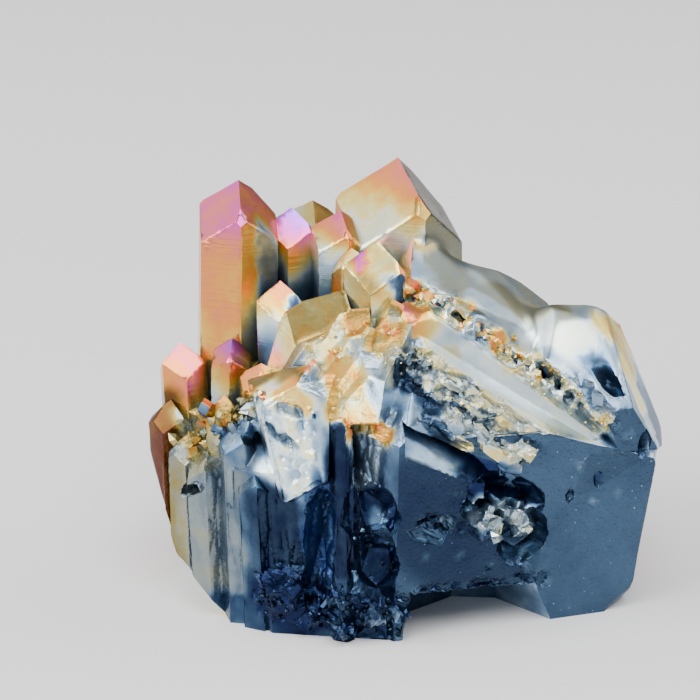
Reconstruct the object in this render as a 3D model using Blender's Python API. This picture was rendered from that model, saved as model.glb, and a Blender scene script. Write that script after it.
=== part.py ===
"""Aura quartz cluster: a small group of quartz points grown together as one stone.

Sizes are in millimetres (MM turns them into Blender's metres), +Z is up, X is the long way of
the cluster and -Y is its front, where the stone was split from its vein.  The tables are laid out
from a point under the prow; the last step moves the finished stone so that the origin is the
middle of its footprint, on the surface it rests on.
"""

import math
import random

import bmesh
import bpy
from mathutils import Matrix, Vector
from mathutils.bvhtree import BVHTree

MM = 0.001
NODE = "quartz_cluster"

# Quartz habit: six sides, and tip faces that slope 51.8 degrees from level.
SIDES = 6
TIP_SLOPE = math.radians(51.8)
# How far each tip face stands out from the tip, as a share of the crystal's width.
TIP_FACES_OUT = (0.0, 0.16, 0.0, 0.10, 0.03, 0.22)
# A prism is a little wider at its foot than under its tip.
FOOT_FLARE = 1.03
TIP_TAPER = 0.97
# Stock above the tip, for the tip faces to be cut from, as a share of the length.
TIP_STOCK = 0.2

# The metal coat on every face.
COAT_COLOUR = (0.52, 0.58, 0.66, 1.0)
COAT_METALLIC = 0.9
COAT_ROUGHNESS = 0.3

# The broken front face: a point on it and the way it looks (yaw from -Y towards +X, lift).
FRONT_POINT = (-1.0, -9.5, 15.0)
FRONT_YAW = 18.0
FRONT_LIFT = -5.0

# A hexagon looks the same every 60 degrees.
ANY_ROLL = (0.0, 60.0)

# Large points, each as (foot, tip, width, roll, depth as a share of the width).
LARGE_POINTS = (
    # left-hand points
    ((-14.1, 5.5, 6.0), (-13.6, 7.0, 32.9), 6.2, 24.0, 1.0),
    ((-17.6, 3.5, 6.0), (-18.2, 4.0, 20.4), 3.6, 20.0, 1.0),
    ((-9.4, 7.0, 12.0), (-9.4, 8.0, 30.4), 4.0, 52.0, 1.0),
    ((-5.6, 5.0, 12.0), (-5.5, 6.0, 30.7), 4.0, 22.0, 1.1),
    ((-8.4, 11.0, 8.0), (-7.8, 12.2, 29.6), 6.4, 33.0, 1.2),
    # the great point and those in front of it
    ((-1.0, 5.5, 10.0), (-0.9, 9.0, 34.1), 9.0, 25.0, 1.0),
    ((-2.4, 0.6, 12.0), (-2.6, 1.0, 29.8), 4.9, 20.0, 1.0),
    ((-4.9, 2.6, 12.0), (-4.7, 2.9, 28.6), 2.8, 10.0, 1.0),
    # the stepped left shoulder
    ((-9.9, 2.4, 10.0), (-10.2, 3.0, 25.9), 3.9, 30.0, 1.0),
    ((-9.8, 0.4, 10.0), (-5.4, 0.2, 26.1), 7.0, 0.0, 0.9),
    ((-12.2, -0.6, 6.0), (-11.8, -0.8, 20.4), 3.0, 10.0, 1.0),
    ((-14.2, 1.8, 6.0), (-14.1, 2.0, 21.4), 3.2, 22.0, 1.0),
    ((-15.0, -1.4, 4.0), (-14.7, -1.2, 17.9), 3.0, 5.0, 1.0),
    # the foot of the left side, prisms side by side
    ((-18.7, 2.8, -6.0), (-19.0, 2.4, 16.2), 3.4, 15.0, 1.0),
    ((-17.2, 0.2, -6.0), (-17.7, -0.2, 14.4), 3.2, 48.0, 1.0),
    ((-15.3, -2.0, -6.0), (-15.9, -2.2, 13.8), 3.4, 5.0, 1.0),
    ((-13.0, -3.4, -6.0), (-13.6, -3.6, 16.4), 3.0, 33.0, 1.0),
    ((-11.4, -4.6, -6.0), (-12.2, -4.8, 13.4), 3.0, 20.0, 1.0),
    ((-17.0, 5.4, -6.0), (-17.4, 5.8, 17.6), 3.6, 40.0, 1.0),
    # the pillar in the front cleft
    ((-5.4, -7.4, -2.0), (-5.5, -7.5, 18.8), 1.5, 0.0, 1.3),
    # the crowded top of the prow, ridges that run down to the left
    ((-1.8, -1.0, 18.0), (-1.6, -1.6, 26.0), 3.6, 20.0, 1.0),
    ((-8.6, -3.2, 18.6), (-3.4, -2.2, 25.5), 3.2, 15.0, 1.0),
    ((-8.4, -4.8, 17.4), (-3.2, -4.0, 24.5), 2.8, 40.0, 1.0),
    ((-7.0, -5.6, 17.0), (-2.2, -5.4, 23.2), 2.4, 5.0, 1.0),
    ((-10.2, -3.2, 17.0), (-6.6, -2.4, 23.6), 2.8, 30.0, 1.0),
    # the point that lies down the right-hand slope
    ((14.0, -3.0, 14.4), (-1.2, -1.3, 25.4), 3.6, 14.0, 0.85),
)

# Points of the far side: a few large ones, then rings of lesser ones that fan out from the root.
REAR_POINTS = (
    ((4.0, 5.0, 8.0), (5.6, 12.0, 23.4), 6.2, 8.0, 1.0),
    ((10.0, 4.0, 6.0), (12.4, 10.6, 19.6), 5.6, 26.0, 1.0),
    ((-3.0, 8.0, 5.0), (-3.4, 15.0, 21.0), 5.6, 30.0, 1.0),
    ((-12.0, 7.0, 4.0), (-14.8, 12.4, 20.5), 5.0, 18.0, 1.0),
    ((-15.0, 5.0, 4.0), (-18.6, 9.0, 14.5), 4.2, 33.0, 1.0),
    ((12.0, 2.0, 5.0), (19.0, 5.4, 10.4), 4.6, 12.0, 1.0),
    ((11.0, 3.0, 4.0), (18.6, 6.6, 4.8), 4.2, 40.0, 1.0),
    ((13.0, 2.0, 8.0), (18.8, 8.6, 14.6), 4.4, 27.0, 1.0),
)
FAN_ROOT = (0.0, 2.0, 5.0)
FAN_REACH = (18.8, 13.0, 18.0)
FAN_WIDTHS = (3.4, 5.2)
FAN_REACH_SPREAD = (0.9, 1.04)
FAN_YAW_SPREAD = 7.0
FAN_LIFT_SPREAD = 6.0
# Where a fan point's foot lies: this share of the way out, and this much lower.
FAN_FOOT_SHARE = 0.35
FAN_FOOT_DROP = 2.0
# Each ring: seed, number of points, lift of the ring, first and last yaw.
FAN_RINGS = (
    (50, 9, -10.0, 104.0, 256.0),
    (51, 10, 6.0, 98.0, 262.0),
    (52, 9, 24.0, 96.0, 250.0),
    (53, 5, 44.0, 110.0, 215.0),
)

# Stone masses, each as (centre, size, facets); a facet is (point on it, yaw, lift).
PROW = (
    (4.0, -1.0, 13.0),
    (40.0, 26.0, 32.0),
    (
        (FRONT_POINT, FRONT_YAW, FRONT_LIFT),
        ((10.1, -6.1, 16.7), 20.0, 40.0),
        ((10.1, -6.1, 16.7), 49.0, 53.0),
        ((-1.2, -9.5, 15.5), -42.0, -3.0),
        ((-1.2, -9.5, 17.0), -40.0, 42.0),
        ((-8.5, -2.0, 14.0), -100.0, 4.0),
        ((-1.5, -2.0, 26.0), -100.0, 42.0),
        ((-1.5, 4.0, 24.0), 150.0, 50.0),
        ((0.0, 7.5, 8.0), 180.0, 4.0),
        ((18.9, -2.6, 10.0), 92.0, -8.0),
        ((17.4, 1.0, 8.0), 130.0, -4.0),
        ((17.6, -2.3, 1.8), 60.0, -42.0),
        ((18.3, 0.0, 18.2), 85.0, 30.0),
        ((12.0, 9.0, 12.0), 150.0, 22.0),
    ),
)
MASSES = (
    # the upper right shoulder, a step behind the prow
    (
        (8.0, 4.0, 14.0),
        (30.0, 24.0, 32.0),
        (
            (FRONT_POINT, FRONT_YAW, FRONT_LIFT),
            ((2.2, -0.4, 23.8), 5.0, 14.0),
            ((2.2, 0.2, 26.1), 35.0, 52.0),
            ((-1.6, 3.0, 26.0), -75.0, 30.0),
            ((18.9, -2.6, 10.0), 92.0, -8.0),
            ((18.6, 1.0, 17.6), 84.0, 32.0),
            ((17.6, 2.0, 1.8), 60.0, -42.0),
            ((4.0, 8.0, 24.5), 165.0, 48.0),
            ((6.0, 8.6, 12.0), 175.0, 8.0),
            ((17.2, 2.4, 12.0), 134.0, 8.0),
            ((5.0, 4.0, 27.2), 75.0, 50.0),
        ),
    ),
    # the root under the left-hand points
    (
        (-9.0, 2.0, 8.0),
        (26.0, 22.0, 24.0),
        (
            ((-12.0, -5.4, 8.0), -14.0, -2.0),
            ((-6.0, -6.2, 8.0), 8.0, -4.0),
            ((-17.0, -1.0, 9.0), -52.0, -2.0),
            ((-18.2, 3.0, 9.0), -92.0, -2.0),
            ((-9.0, -4.0, 15.0), -12.0, 50.0),
            ((-16.0, 0.0, 14.5), -60.0, 50.0),
            ((-12.0, 10.0, 14.0), 185.0, 40.0),
            ((-10.0, 8.6, 8.0), 186.0, 0.0),
            ((-18.0, 7.0, 8.0), -130.0, 4.0),
        ),
    ),
    # the bright block at the front left, broken off short below
    (
        (-9.2, -5.4, 16.0),
        (9.0, 5.6, 16.0),
        (
            ((-9.4, -7.2, 16.0), -14.0, 7.0),
            ((-11.4, -6.0, 16.0), -78.0, -10.0),
            ((-5.7, -6.0, 16.0), 70.0, 2.0),
            ((-10.4, -6.4, 19.9), -62.0, 54.0),
            ((-8.0, -6.4, 20.9), 4.0, 52.0),
            ((-9.0, -4.4, 21.6), 168.0, 30.0),
            ((-12.2, -7.0, 11.6), -30.0, -70.0),
            ((-7.6, -7.4, 12.4), 40.0, -52.0),
        ),
    ),
    # the gold block left of the prow's edge
    (
        (-4.0, -5.0, 19.0),
        (9.0, 9.0, 12.0),
        (
            ((-4.6, -7.6, 18.6), -30.0, 26.0),
            ((-6.1, -6.8, 19.0), -88.0, 4.0),
            ((-1.6, -7.0, 19.0), 60.0, 6.0),
            ((-5.0, -6.2, 21.4), -22.0, 58.0),
            ((-5.4, -8.0, 18.2), -10.0, -58.0),
            ((-2.6, -8.6, 17.2), 30.0, -40.0),
        ),
    ),
    # the rough foot at the front
    (
        (-7.0, -3.0, 2.0),
        (14.0, 12.0, 7.0),
        (
            ((-7.0, -8.0, 3.0), -8.0, -14.0),
            ((-7.0, -7.0, 5.0), -10.0, 50.0),
            ((-12.4, -5.6, 3.0), -56.0, -12.0),
            ((-1.4, -7.6, 3.0), 58.0, -4.0),
            ((-4.0, -7.6, 4.6), 20.0, 30.0),
        ),
    ),
    # the rounded top right corner
    (
        (14.0, 1.0, 18.0),
        (14.0, 14.0, 16.0),
        (
            ((13.0, 2.0, 24.3), 20.0, 72.0),
            ((15.6, 1.0, 23.3), 60.0, 55.0),
            ((17.6, 1.0, 19.0), 78.0, 26.0),
            ((19.8, 0.0, 15.2), 86.0, 4.0),
            ((13.6, -2.4, 20.5), 14.0, 42.0),
            ((8.2, 1.0, 20.0), -70.0, 30.0),
            ((14.0, 6.0, 20.0), 170.0, 40.0),
            ((17.0, -4.4, 15.0), 18.0, -2.0),
            ((13.0, -3.4, 18.4), -50.0, -27.0),
            ((14.0, 0.0, 12.6), 10.0, -70.0),
            ((17.8, 4.0, 15.0), 130.0, 8.0),
        ),
    ),
)

# Where the stone is missing: (centre, size, turn about X, Y and Z in degrees, seed).
HOLLOWS = (
    # the tall cleft left of the pillar, and the dark hollow right of it
    ((-7.3, -8.0, 7.6), (2.9, 6.6, 11.6), (0.0, 4.0, -6.0), 11),
    ((-3.2, -8.8, 10.8), (4.8, 5.4, 4.8), (0.0, 34.0, -20.0), 12),
    ((-3.0, -8.4, 6.8), (4.0, 6.0, 5.4), (0.0, 0.0, -20.0), 13),
    # the pocket in the front face and the pits beside it
    ((7.2, -6.6, 10.9), (7.2, 5.4, 5.0), (0.0, 12.0, 18.0), 14),
    ((8.8, -5.8, 7.8), (4.2, 4.4, 5.0), (0.0, 30.0, 18.0), 15),
    ((1.2, -8.7, 8.9), (4.2, 1.8, 1.5), (0.0, 24.0, 18.0), 16),
    ((14.6, -4.4, 12.0), (0.9, 1.2, 1.7), (0.0, -10.0, 18.0), 17),
    ((12.4, -5.0, 10.8), (0.8, 1.0, 1.4), (0.0, 12.0, 18.0), 18),
    # the slot under the rough facet
    ((2.0, -9.2, 16.9), (7.6, 3.6, 1.0), (28.0, 28.0, 8.0), 19),
    ((0.4, -5.6, 21.2), (2.6, 1.8, 3.4), (-30.0, 10.0, 10.0), 20),
    # slots at the right-hand end
    ((15.4, -2.4, 19.3), (4.8, 2.8, 1.5), (10.0, 52.0, 20.0), 21),
    ((18.2, -3.4, 14.6), (1.0, 2.0, 2.8), (0.0, 6.0, 30.0), 22),
    # grooves of the left side
    ((-12.2, -5.8, 18.2), (1.0, 3.4, 4.6), (0.0, 16.0, -20.0), 23),
    ((-17.0, -2.4, 10.6), (3.6, 2.4, 1.1), (0.0, -34.0, -30.0), 24),
)

# How far a hollow's corners lie off a true ball, as a share of its radius.
HOLLOW_DENT = 0.12
# Edges shorter than this are closed up.
SLIVER = 0.00002
# Depth of the block taken away in front of a break.
BEYOND = 60.0

# Small crystals: seed, count, from, to, spread, widths, the way they lean, how strongly they lean
# that way and not straight out, and the side they are on (yaw, lift).
UP_SLOPE = (-0.82, 0.18, 0.54)
UP_LEFT = (-0.2, -0.3, 0.9)
OUT_FRONT = (0.3, -0.7, 0.3)
DRUSES = (
    # the pebbly strip between the two steps
    (31, 26, (0.6, -0.2, 26.2), (14.6, -3.4, 17.2), 0.8, (1.0, 1.9), UP_SLOPE, 0.45, (15.0, 30.0)),
    # scales on the rough facet and on the prow's crown
    (32, 26, (0.4, -5.0, 21.8), (9.0, -7.6, 15.6), 2.0, (0.8, 1.5), UP_SLOPE, 0.8, (20.0, 40.0)),
    (33, 8, (-2.4, -4.0, 24.0), (-6.6, -5.0, 21.4), 1.4, (0.9, 1.5), UP_LEFT, 0.6, (-20.0, 45.0)),
    # in the pocket of the front face
    (34, 12, (4.8, -8.0, 11.6), (9.6, -6.6, 8.2), 1.3, (1.2, 2.2), OUT_FRONT, 0.4, (10.0, 12.0)),
    # the left side and the foot
    (35, 10, (-18.0, -1.0, 15.5), (-12.0, -4.0, 16.5), 1.4, (1.0, 1.8), UP_LEFT, 0.6, (-35.0, 35.0)),
    (36, 12, (-10.5, -7.0, 3.5), (-1.5, -8.5, 2.0), 1.4, (1.2, 2.2), OUT_FRONT, 0.4, (-8.0, 5.0)),
    # the far side
    (37, 14, (-16.0, 10.0, 15.0), (16.0, 9.0, 12.0), 4.5, (1.3, 2.6), (0.0, 0.7, 0.7), 0.5, (180.0, 25.0)),
    (38, 12, (-14.0, 10.0, 5.0), (14.0, 9.0, 5.0), 2.5, (1.3, 2.6), (0.0, 0.9, 0.2), 0.4, (180.0, 5.0)),
)
# A small crystal wanders this much off its line, and is this deep as a share of its width.
WANDER = 0.35
SMALL_DEPTHS = (0.7, 1.0)
# How far its tip stands out and its foot goes in, as shares of its width.
SMALL_TIP_OUT = (0.55, 0.95)
SMALL_FOOT_IN = 0.9
# It is set from this far outside, onto what it meets first.
CAST_FROM = 30.0

# All that lay below the flat cut the stone rests on, as centre and size.
GROUND = ((0.0, 0.0, -20.0), (90.0, 90.0, 40.0))

# Flat breaks: (point, yaw, lift) of the face that is left, and how wide and high it reaches.
BREAKS = (
    # the slanting underside at the left
    ((-19.0, 1.0, 4.1), -78.0, -40.0, (60.0, 60.0)),
    ((-20.0, 2.0, 8.5), -86.0, -14.0, (60.0, 60.0)),
    # the front face, level with the prow
    ((-1.0, -9.56, 15.0), FRONT_YAW, FRONT_LIFT, (70.0, 60.0)),
    # behind
    ((0.0, 14.5, 2.0), 178.0, -34.0, (60.0, 60.0)),
)
# The pale chip under the rough facet, a wedge knocked out of the front face.
CHIP = (
    (2.4, -10.0, 15.6),
    (8.4, 8.0, 8.0),
    (
        ((-0.6, -9.5, 15.9), 220.0, -32.0),
        ((2.0, -8.5, 16.9), 90.0, 62.0),
        ((-0.7, -9.0, 16.0), -80.0, 0.0),
    ),
)
# The overhang below the front face.
OVERHANG = (
    (5.8, -7.0, 1.6),
    (15.0, 15.0, 10.0),
    (
        ((0.2, -8.1, 3.8), 31.0, 77.0),
        ((4.8, 0.0, 0.0), 176.0, 30.0),
        ((8.4, -1.6, 0.0), 136.0, 24.0),
        ((0.4, -2.4, 0.0), -140.0, 20.0),
        ((-0.8, -7.0, 1.0), -74.0, 10.0),
        ((12.1, -5.0, 1.0), 80.0, 12.0),
    ),
)


def facing(yaw, lift):
    """Unit vector that looks out of a face, from its yaw and lift in degrees."""
    yaw = math.radians(yaw)
    lift = math.radians(lift)
    return Vector((math.sin(yaw) * math.cos(lift), -math.cos(yaw) * math.cos(lift), math.sin(lift)))


def slice_off(bm, point, normal):
    """Cut away what lies in front of a plane and close the cut with one flat face."""
    geometry = bm.verts[:] + bm.edges[:] + bm.faces[:]
    cut = bmesh.ops.bisect_plane(
        bm, geom=geometry, plane_co=point, plane_no=normal, clear_outer=True, dist=1e-7)
    rim = [item for item in cut["geom_cut"] if isinstance(item, bmesh.types.BMEdge)]
    if rim:
        bmesh.ops.holes_fill(bm, edges=rim, sides=0)


def as_object(name, bm, collection):
    """Turn a bmesh into an object in a collection."""
    bmesh.ops.recalc_face_normals(bm, faces=bm.faces[:])
    if bm.calc_volume(signed=True) < 0.0:
        bmesh.ops.reverse_faces(bm, faces=bm.faces[:])
    mesh = bpy.data.meshes.new(name)
    bm.to_mesh(mesh)
    bm.free()
    thing = bpy.data.objects.new(name, mesh)
    collection.objects.link(thing)
    return thing


def quartz_point(name, foot, tip, width, roll, depth_share, collection, tip_sides=range(SIDES)):
    """A six-sided prism from foot to tip, ending in six sloping faces, or three on a small one."""
    foot = Vector(foot) * MM
    tip = Vector(tip) * MM
    length = (tip - foot).length
    apothem = width * MM / 2.0
    radius = apothem / math.cos(math.pi / SIDES)
    bm = bmesh.new()
    middle = Matrix.Translation((0.0, 0.0, length * (TIP_STOCK - 1.0) / 2.0))
    bmesh.ops.create_cone(
        bm, cap_ends=True, segments=SIDES, radius1=radius * FOOT_FLARE, radius2=radius * TIP_TAPER,
        depth=length * (1.0 + TIP_STOCK), matrix=middle)
    for side in tip_sides:
        turn = math.tau * (side + 0.5) / SIDES
        normal = Vector((
            math.cos(turn) * math.sin(TIP_SLOPE),
            math.sin(turn) * math.sin(TIP_SLOPE),
            math.cos(TIP_SLOPE)))
        stand_out = TIP_FACES_OUT[side] * width * MM
        slice_off(bm, normal * stand_out, normal)
    bm.transform(Matrix.Diagonal((depth_share, 1.0, 1.0, 1.0)))
    aim = (tip - foot).to_track_quat("Z", "Y").to_matrix().to_4x4()
    spin = Matrix.Rotation(math.radians(roll), 4, "Z")
    bm.transform(Matrix.Translation(tip) @ aim @ spin)
    return as_object(name, bm, collection)


def stone_mass(name, centre, size, facets, collection):
    """A block of stone trimmed by flat facets."""
    bm = bmesh.new()
    bmesh.ops.create_cube(bm, size=1.0)
    bm.transform(Matrix.Translation(Vector(centre) * MM) @ Matrix.Diagonal((*(Vector(size) * MM), 1.0)))
    for point, yaw, lift in facets:
        slice_off(bm, Vector(point) * MM, facing(yaw, lift))
    return as_object(name, bm, collection)


def coat(thing):
    """The metal-vapour coat over the whole stone: silvery, blue towards the root."""
    material = bpy.data.materials.new("aura_coat")
    material.use_nodes = True
    shader = material.node_tree.nodes["Principled BSDF"]
    shader.inputs["Base Color"].default_value = COAT_COLOUR
    shader.inputs["Metallic"].default_value = COAT_METALLIC
    shader.inputs["Roughness"].default_value = COAT_ROUGHNESS
    thing.data.materials.clear()
    thing.data.materials.append(material)


def fuse(target, operand, operation):
    """Apply one Boolean between the target and an object, or every object in a collection."""
    modifier = target.modifiers.new(operation.title(), "BOOLEAN")
    modifier.operation = operation
    if isinstance(operand, bpy.types.Collection):
        modifier.operand_type = "COLLECTION"
        modifier.collection = operand
    else:
        modifier.object = operand
    modifier.solver = "EXACT"
    graph = bpy.context.evaluated_depsgraph_get()
    mesh = bpy.data.meshes.new_from_object(target.evaluated_get(graph))
    target.modifiers.clear()
    target.data = mesh


def hollow(name, centre, size, turn, seed, collection):
    """A rough angular hollow: a ball of flat faces, dented at random."""
    dice = random.Random(seed)
    bm = bmesh.new()
    bmesh.ops.create_icosphere(bm, subdivisions=2, radius=0.5)
    for vert in bm.verts:
        vert.co *= 1.0 + dice.uniform(-HOLLOW_DENT, HOLLOW_DENT)
    spin = Matrix.Identity(4)
    for angle, axis in zip(turn, "XYZ"):
        spin = Matrix.Rotation(math.radians(angle), 4, axis) @ spin
    bm.transform(
        Matrix.Translation(Vector(centre) * MM) @ spin @ Matrix.Diagonal((*(Vector(size) * MM), 1.0)))
    return as_object(name, bm, collection)


def beyond_break(name, point, yaw, lift, reach, collection):
    """What is missing in front of a break: a deep block standing on the face that is left."""
    bm = bmesh.new()
    bmesh.ops.create_cube(bm, size=1.0)
    outward = facing(yaw, lift)
    across = Vector((0.0, 0.0, 1.0)).cross(outward).normalized()
    up = outward.cross(across)
    aim = Matrix((across, up, outward)).transposed().to_4x4()
    size = Matrix.Diagonal((reach[0] * MM, reach[1] * MM, BEYOND * MM, 1.0))
    bm.transform(Matrix.Translation(Vector(point) * MM + outward * BEYOND * MM / 2.0) @ aim @ size)
    return as_object(name, bm, collection)


def fan_point(name, dice, lift, yaw, collection):
    """One of the lesser points of the far side, aimed outward from the root."""
    yaw += dice.uniform(-FAN_YAW_SPREAD, FAN_YAW_SPREAD)
    lift += dice.uniform(-FAN_LIFT_SPREAD, FAN_LIFT_SPREAD)
    look = facing(yaw, lift)
    reach = Vector(FAN_REACH) * dice.uniform(*FAN_REACH_SPREAD)
    root = Vector(FAN_ROOT)
    tip = root + Vector((look.x * reach.x, look.y * reach.y, look.z * reach.z))
    foot = root.lerp(tip, FAN_FOOT_SHARE) - Vector((0.0, 0.0, FAN_FOOT_DROP))
    quartz_point(name, foot, tip, dice.uniform(*FAN_WIDTHS), dice.uniform(*ANY_ROLL), 1.0, collection)


def small_points(name, surface, seed, count, start, end, spread, widths, lean, pull, look, collection):
    """Small crystals scattered along a line on the surface, each rooted a little inside it."""
    dice = random.Random(seed)
    outward = facing(*look)
    for index in range(count):
        along = Vector(start).lerp(Vector(end), (index + dice.random()) / count)
        jitter = Vector([dice.uniform(-spread, spread) for _ in range(3)])
        source = (along + jitter + outward * CAST_FROM) * MM
        place, normal, _, _ = surface.ray_cast(source, -outward)
        width = dice.uniform(*widths)
        wander = Vector([dice.uniform(-WANDER, WANDER) for _ in range(3)])
        if place is None:
            continue
        axis = (normal.lerp(Vector(lean), pull) + wander).normalized()
        tip = place / MM + axis * width * dice.uniform(*SMALL_TIP_OUT)
        foot = place / MM - axis * width * SMALL_FOOT_IN
        quartz_point(
            f"{name}_{index:02d}", foot, tip, width, dice.uniform(*ANY_ROLL),
            dice.uniform(*SMALL_DEPTHS), collection, range(0, SIDES, 2))


def keep_outer_skin(thing):
    """Keep the largest closed skin: the gaps sealed deep between crystals become solid stone."""
    bm = bmesh.new()
    bm.from_mesh(thing.data)
    unseen = set(bm.faces)
    skins = []
    while unseen:
        front = [unseen.pop()]
        skin = []
        while front:
            face = front.pop()
            skin.append(face)
            near = {other for edge in face.edges for other in edge.link_faces} & unseen
            unseen -= near
            front.extend(near)
        skins.append(skin)
    skins.sort(key=len)
    for skin in skins[:-1]:
        bmesh.ops.delete(bm, geom=skin, context="FACES")
    bmesh.ops.dissolve_degenerate(bm, edges=bm.edges[:], dist=SLIVER * MM)
    bm.to_mesh(thing.data)
    bm.free()


def stand_on_origin(thing):
    """Move the stone so that the origin is the middle of its footprint's box, on the ground."""
    corners = [Vector(corner) for corner in thing.bound_box]
    low = Vector([min(corner[axis] for corner in corners) for axis in range(3)])
    high = Vector([max(corner[axis] for corner in corners) for axis in range(3)])
    middle = (low + high) / 2.0
    thing.data.transform(Matrix.Translation((-middle.x, -middle.y, -low.z)))


def fresh_collection(name):
    """A new collection in the scene."""
    collection = bpy.data.collections.new(name)
    bpy.context.scene.collection.children.link(collection)
    return collection


def surface_of(thing):
    """A tree of the object's faces, to find where a small crystal sits."""
    bm = bmesh.new()
    bm.from_mesh(thing.data)
    tree = BVHTree.FromBMesh(bm)
    bm.free()
    return tree


def mark_as_cutters(collection):
    """Hide the shapes the stone was made from, and show them as wire."""
    for thing in collection.objects:
        thing.hide_render = True
        thing.display_type = "WIRE"


for thing in list(bpy.data.objects):
    bpy.data.objects.remove(thing, do_unlink=True)

stone = fresh_collection("aura_quartz_cluster")
growth = fresh_collection("growth_cutters")
druse = fresh_collection("druse_cutters")
missing = fresh_collection("missing_cutters")
breaks = fresh_collection("break_cutters")

body = stone_mass(NODE, *PROW, stone)
for index, row in enumerate(MASSES):
    stone_mass(f"mass_{index:02d}", *row, growth)
for index, row in enumerate(LARGE_POINTS + REAR_POINTS):
    quartz_point(f"point_{index:02d}", *row, growth)
for seed, count, lift, first, last in FAN_RINGS:
    dice = random.Random(seed)
    for index in range(count):
        yaw = first + (last - first) * index / (count - 1)
        fan_point(f"fan_{seed}_{index:02d}", dice, lift, yaw, growth)
fuse(body, growth, "UNION")

for index, row in enumerate(HOLLOWS):
    hollow(f"hollow_{index:02d}", *row, missing)
fuse(body, missing, "DIFFERENCE")
chips = [beyond_break(f"break_{index:02d}", *row, breaks) for index, row in enumerate(BREAKS)]
chips.append(stone_mass("chip", *CHIP, breaks))
chips.append(stone_mass("overhang", *OVERHANG, breaks))
for chip in chips:
    fuse(body, chip, "DIFFERENCE")

surface = surface_of(body)
for index, row in enumerate(DRUSES):
    small_points(f"druse_{index}", surface, *row, druse)
fuse(body, druse, "UNION")
ground = stone_mass("ground", *GROUND, (), breaks)
fuse(body, ground, "DIFFERENCE")

for collection in (growth, druse, missing, breaks):
    mark_as_cutters(collection)
keep_outer_skin(body)
stand_on_origin(body)
coat(body)
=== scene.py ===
"""Looks of the aura quartz cluster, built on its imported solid.

One stone: quartz points grown together, split at the front, cut flat below, with a thin metal
coat fired onto every face.  Tables are in millimetres; the frame and all objects are in metres.
"""
import math

import bmesh
import bpy
import numpy as np
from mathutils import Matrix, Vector
from mathutils.bvhtree import BVHTree


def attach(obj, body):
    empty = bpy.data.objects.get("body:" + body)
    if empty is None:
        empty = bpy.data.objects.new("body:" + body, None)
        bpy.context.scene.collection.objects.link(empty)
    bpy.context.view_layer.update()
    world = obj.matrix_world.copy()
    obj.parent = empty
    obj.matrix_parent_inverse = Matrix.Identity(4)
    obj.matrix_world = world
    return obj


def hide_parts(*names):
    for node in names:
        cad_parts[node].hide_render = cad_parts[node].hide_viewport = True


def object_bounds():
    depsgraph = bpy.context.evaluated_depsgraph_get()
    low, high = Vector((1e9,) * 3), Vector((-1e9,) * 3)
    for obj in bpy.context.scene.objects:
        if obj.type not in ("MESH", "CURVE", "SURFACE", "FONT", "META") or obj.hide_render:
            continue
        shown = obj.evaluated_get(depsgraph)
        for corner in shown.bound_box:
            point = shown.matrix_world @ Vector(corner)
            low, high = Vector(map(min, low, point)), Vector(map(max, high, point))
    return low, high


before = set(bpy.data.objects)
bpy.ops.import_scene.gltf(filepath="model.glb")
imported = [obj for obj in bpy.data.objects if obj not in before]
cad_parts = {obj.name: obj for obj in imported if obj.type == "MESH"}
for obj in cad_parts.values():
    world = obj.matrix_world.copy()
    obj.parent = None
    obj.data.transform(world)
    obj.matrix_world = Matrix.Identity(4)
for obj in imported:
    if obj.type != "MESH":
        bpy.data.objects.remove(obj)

cad_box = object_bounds()
MM = 0.001


# Camera: close up in front of the split face, looking down on the stone by twenty degrees, as one
# looks at a small specimen in the hand.
CAMERA_LIFT = math.radians(20.0)
CAMERA_TARGET = Vector((-4.42, -3.83, 21.2)) * MM
CAMERA_DISTANCE = 220.0 * MM
CAMERA_LENS = 144.8
CAMERA_NEAR = 10.0 * MM


def placed(name, data):
    """A new object in the scene that shows this data."""
    thing = bpy.data.objects.new(name, data)
    bpy.context.collection.objects.link(thing)
    return thing


lens = bpy.data.cameras.new("camera")
lens.lens = CAMERA_LENS
lens.clip_start = CAMERA_NEAR
camera = placed("camera", lens)
backwards = Vector((0.0, -math.cos(CAMERA_LIFT), math.sin(CAMERA_LIFT)))
camera.location = CAMERA_TARGET + backwards * CAMERA_DISTANCE
camera.rotation_euler = (math.pi / 2.0 - CAMERA_LIFT, 0.0, 0.0)
bpy.context.scene.camera = camera


# The stone's skin: the solid's flat facets, divided finely so that scales, pebbles, chips and pits
# can be worked into them.  Rough ground and the rims of the facets are divided most finely.
STONE_NODE = "quartz_cluster"
# Where the point under the prow, from which the tables are laid out, lies in the frame.
PROW_FOOT = np.array((0.380, -3.826, 0.0))
# Points closer than this are one, faces that differ by less than the next angle are one facet, and
# facets that differ by more than the last make a rim.
ONE_PLACE = 0.001
ONE_PLANE = math.radians(0.6)
RIM_ANGLE = math.radians(10.0)
# Longest edges: on rough ground, on smooth faces in front and behind, beside a rim in front and
# behind, and underneath; and the place along Y from which it is behind.
ROUGH_EDGE = 0.265
FRONT_EDGE = 0.9
BACK_EDGE = 1.3
RIM_EDGE = 0.34
BACK_RIM_EDGE = 0.55
UNDERSIDE_EDGE = 1.8
BACK_FROM = 4.0
# Ground counts as wholly rough where its strength times this is 1 or more.
ROUGH_ENOUGH = 1.5
# Points lower than this are on the flat cut, which stays as it is.
CUT_TOP = 0.02

# Ground along a line ends at the first of these shares of its reach, and is whole at the second.
LINE_FADE = (1.3, 0.75)
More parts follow.
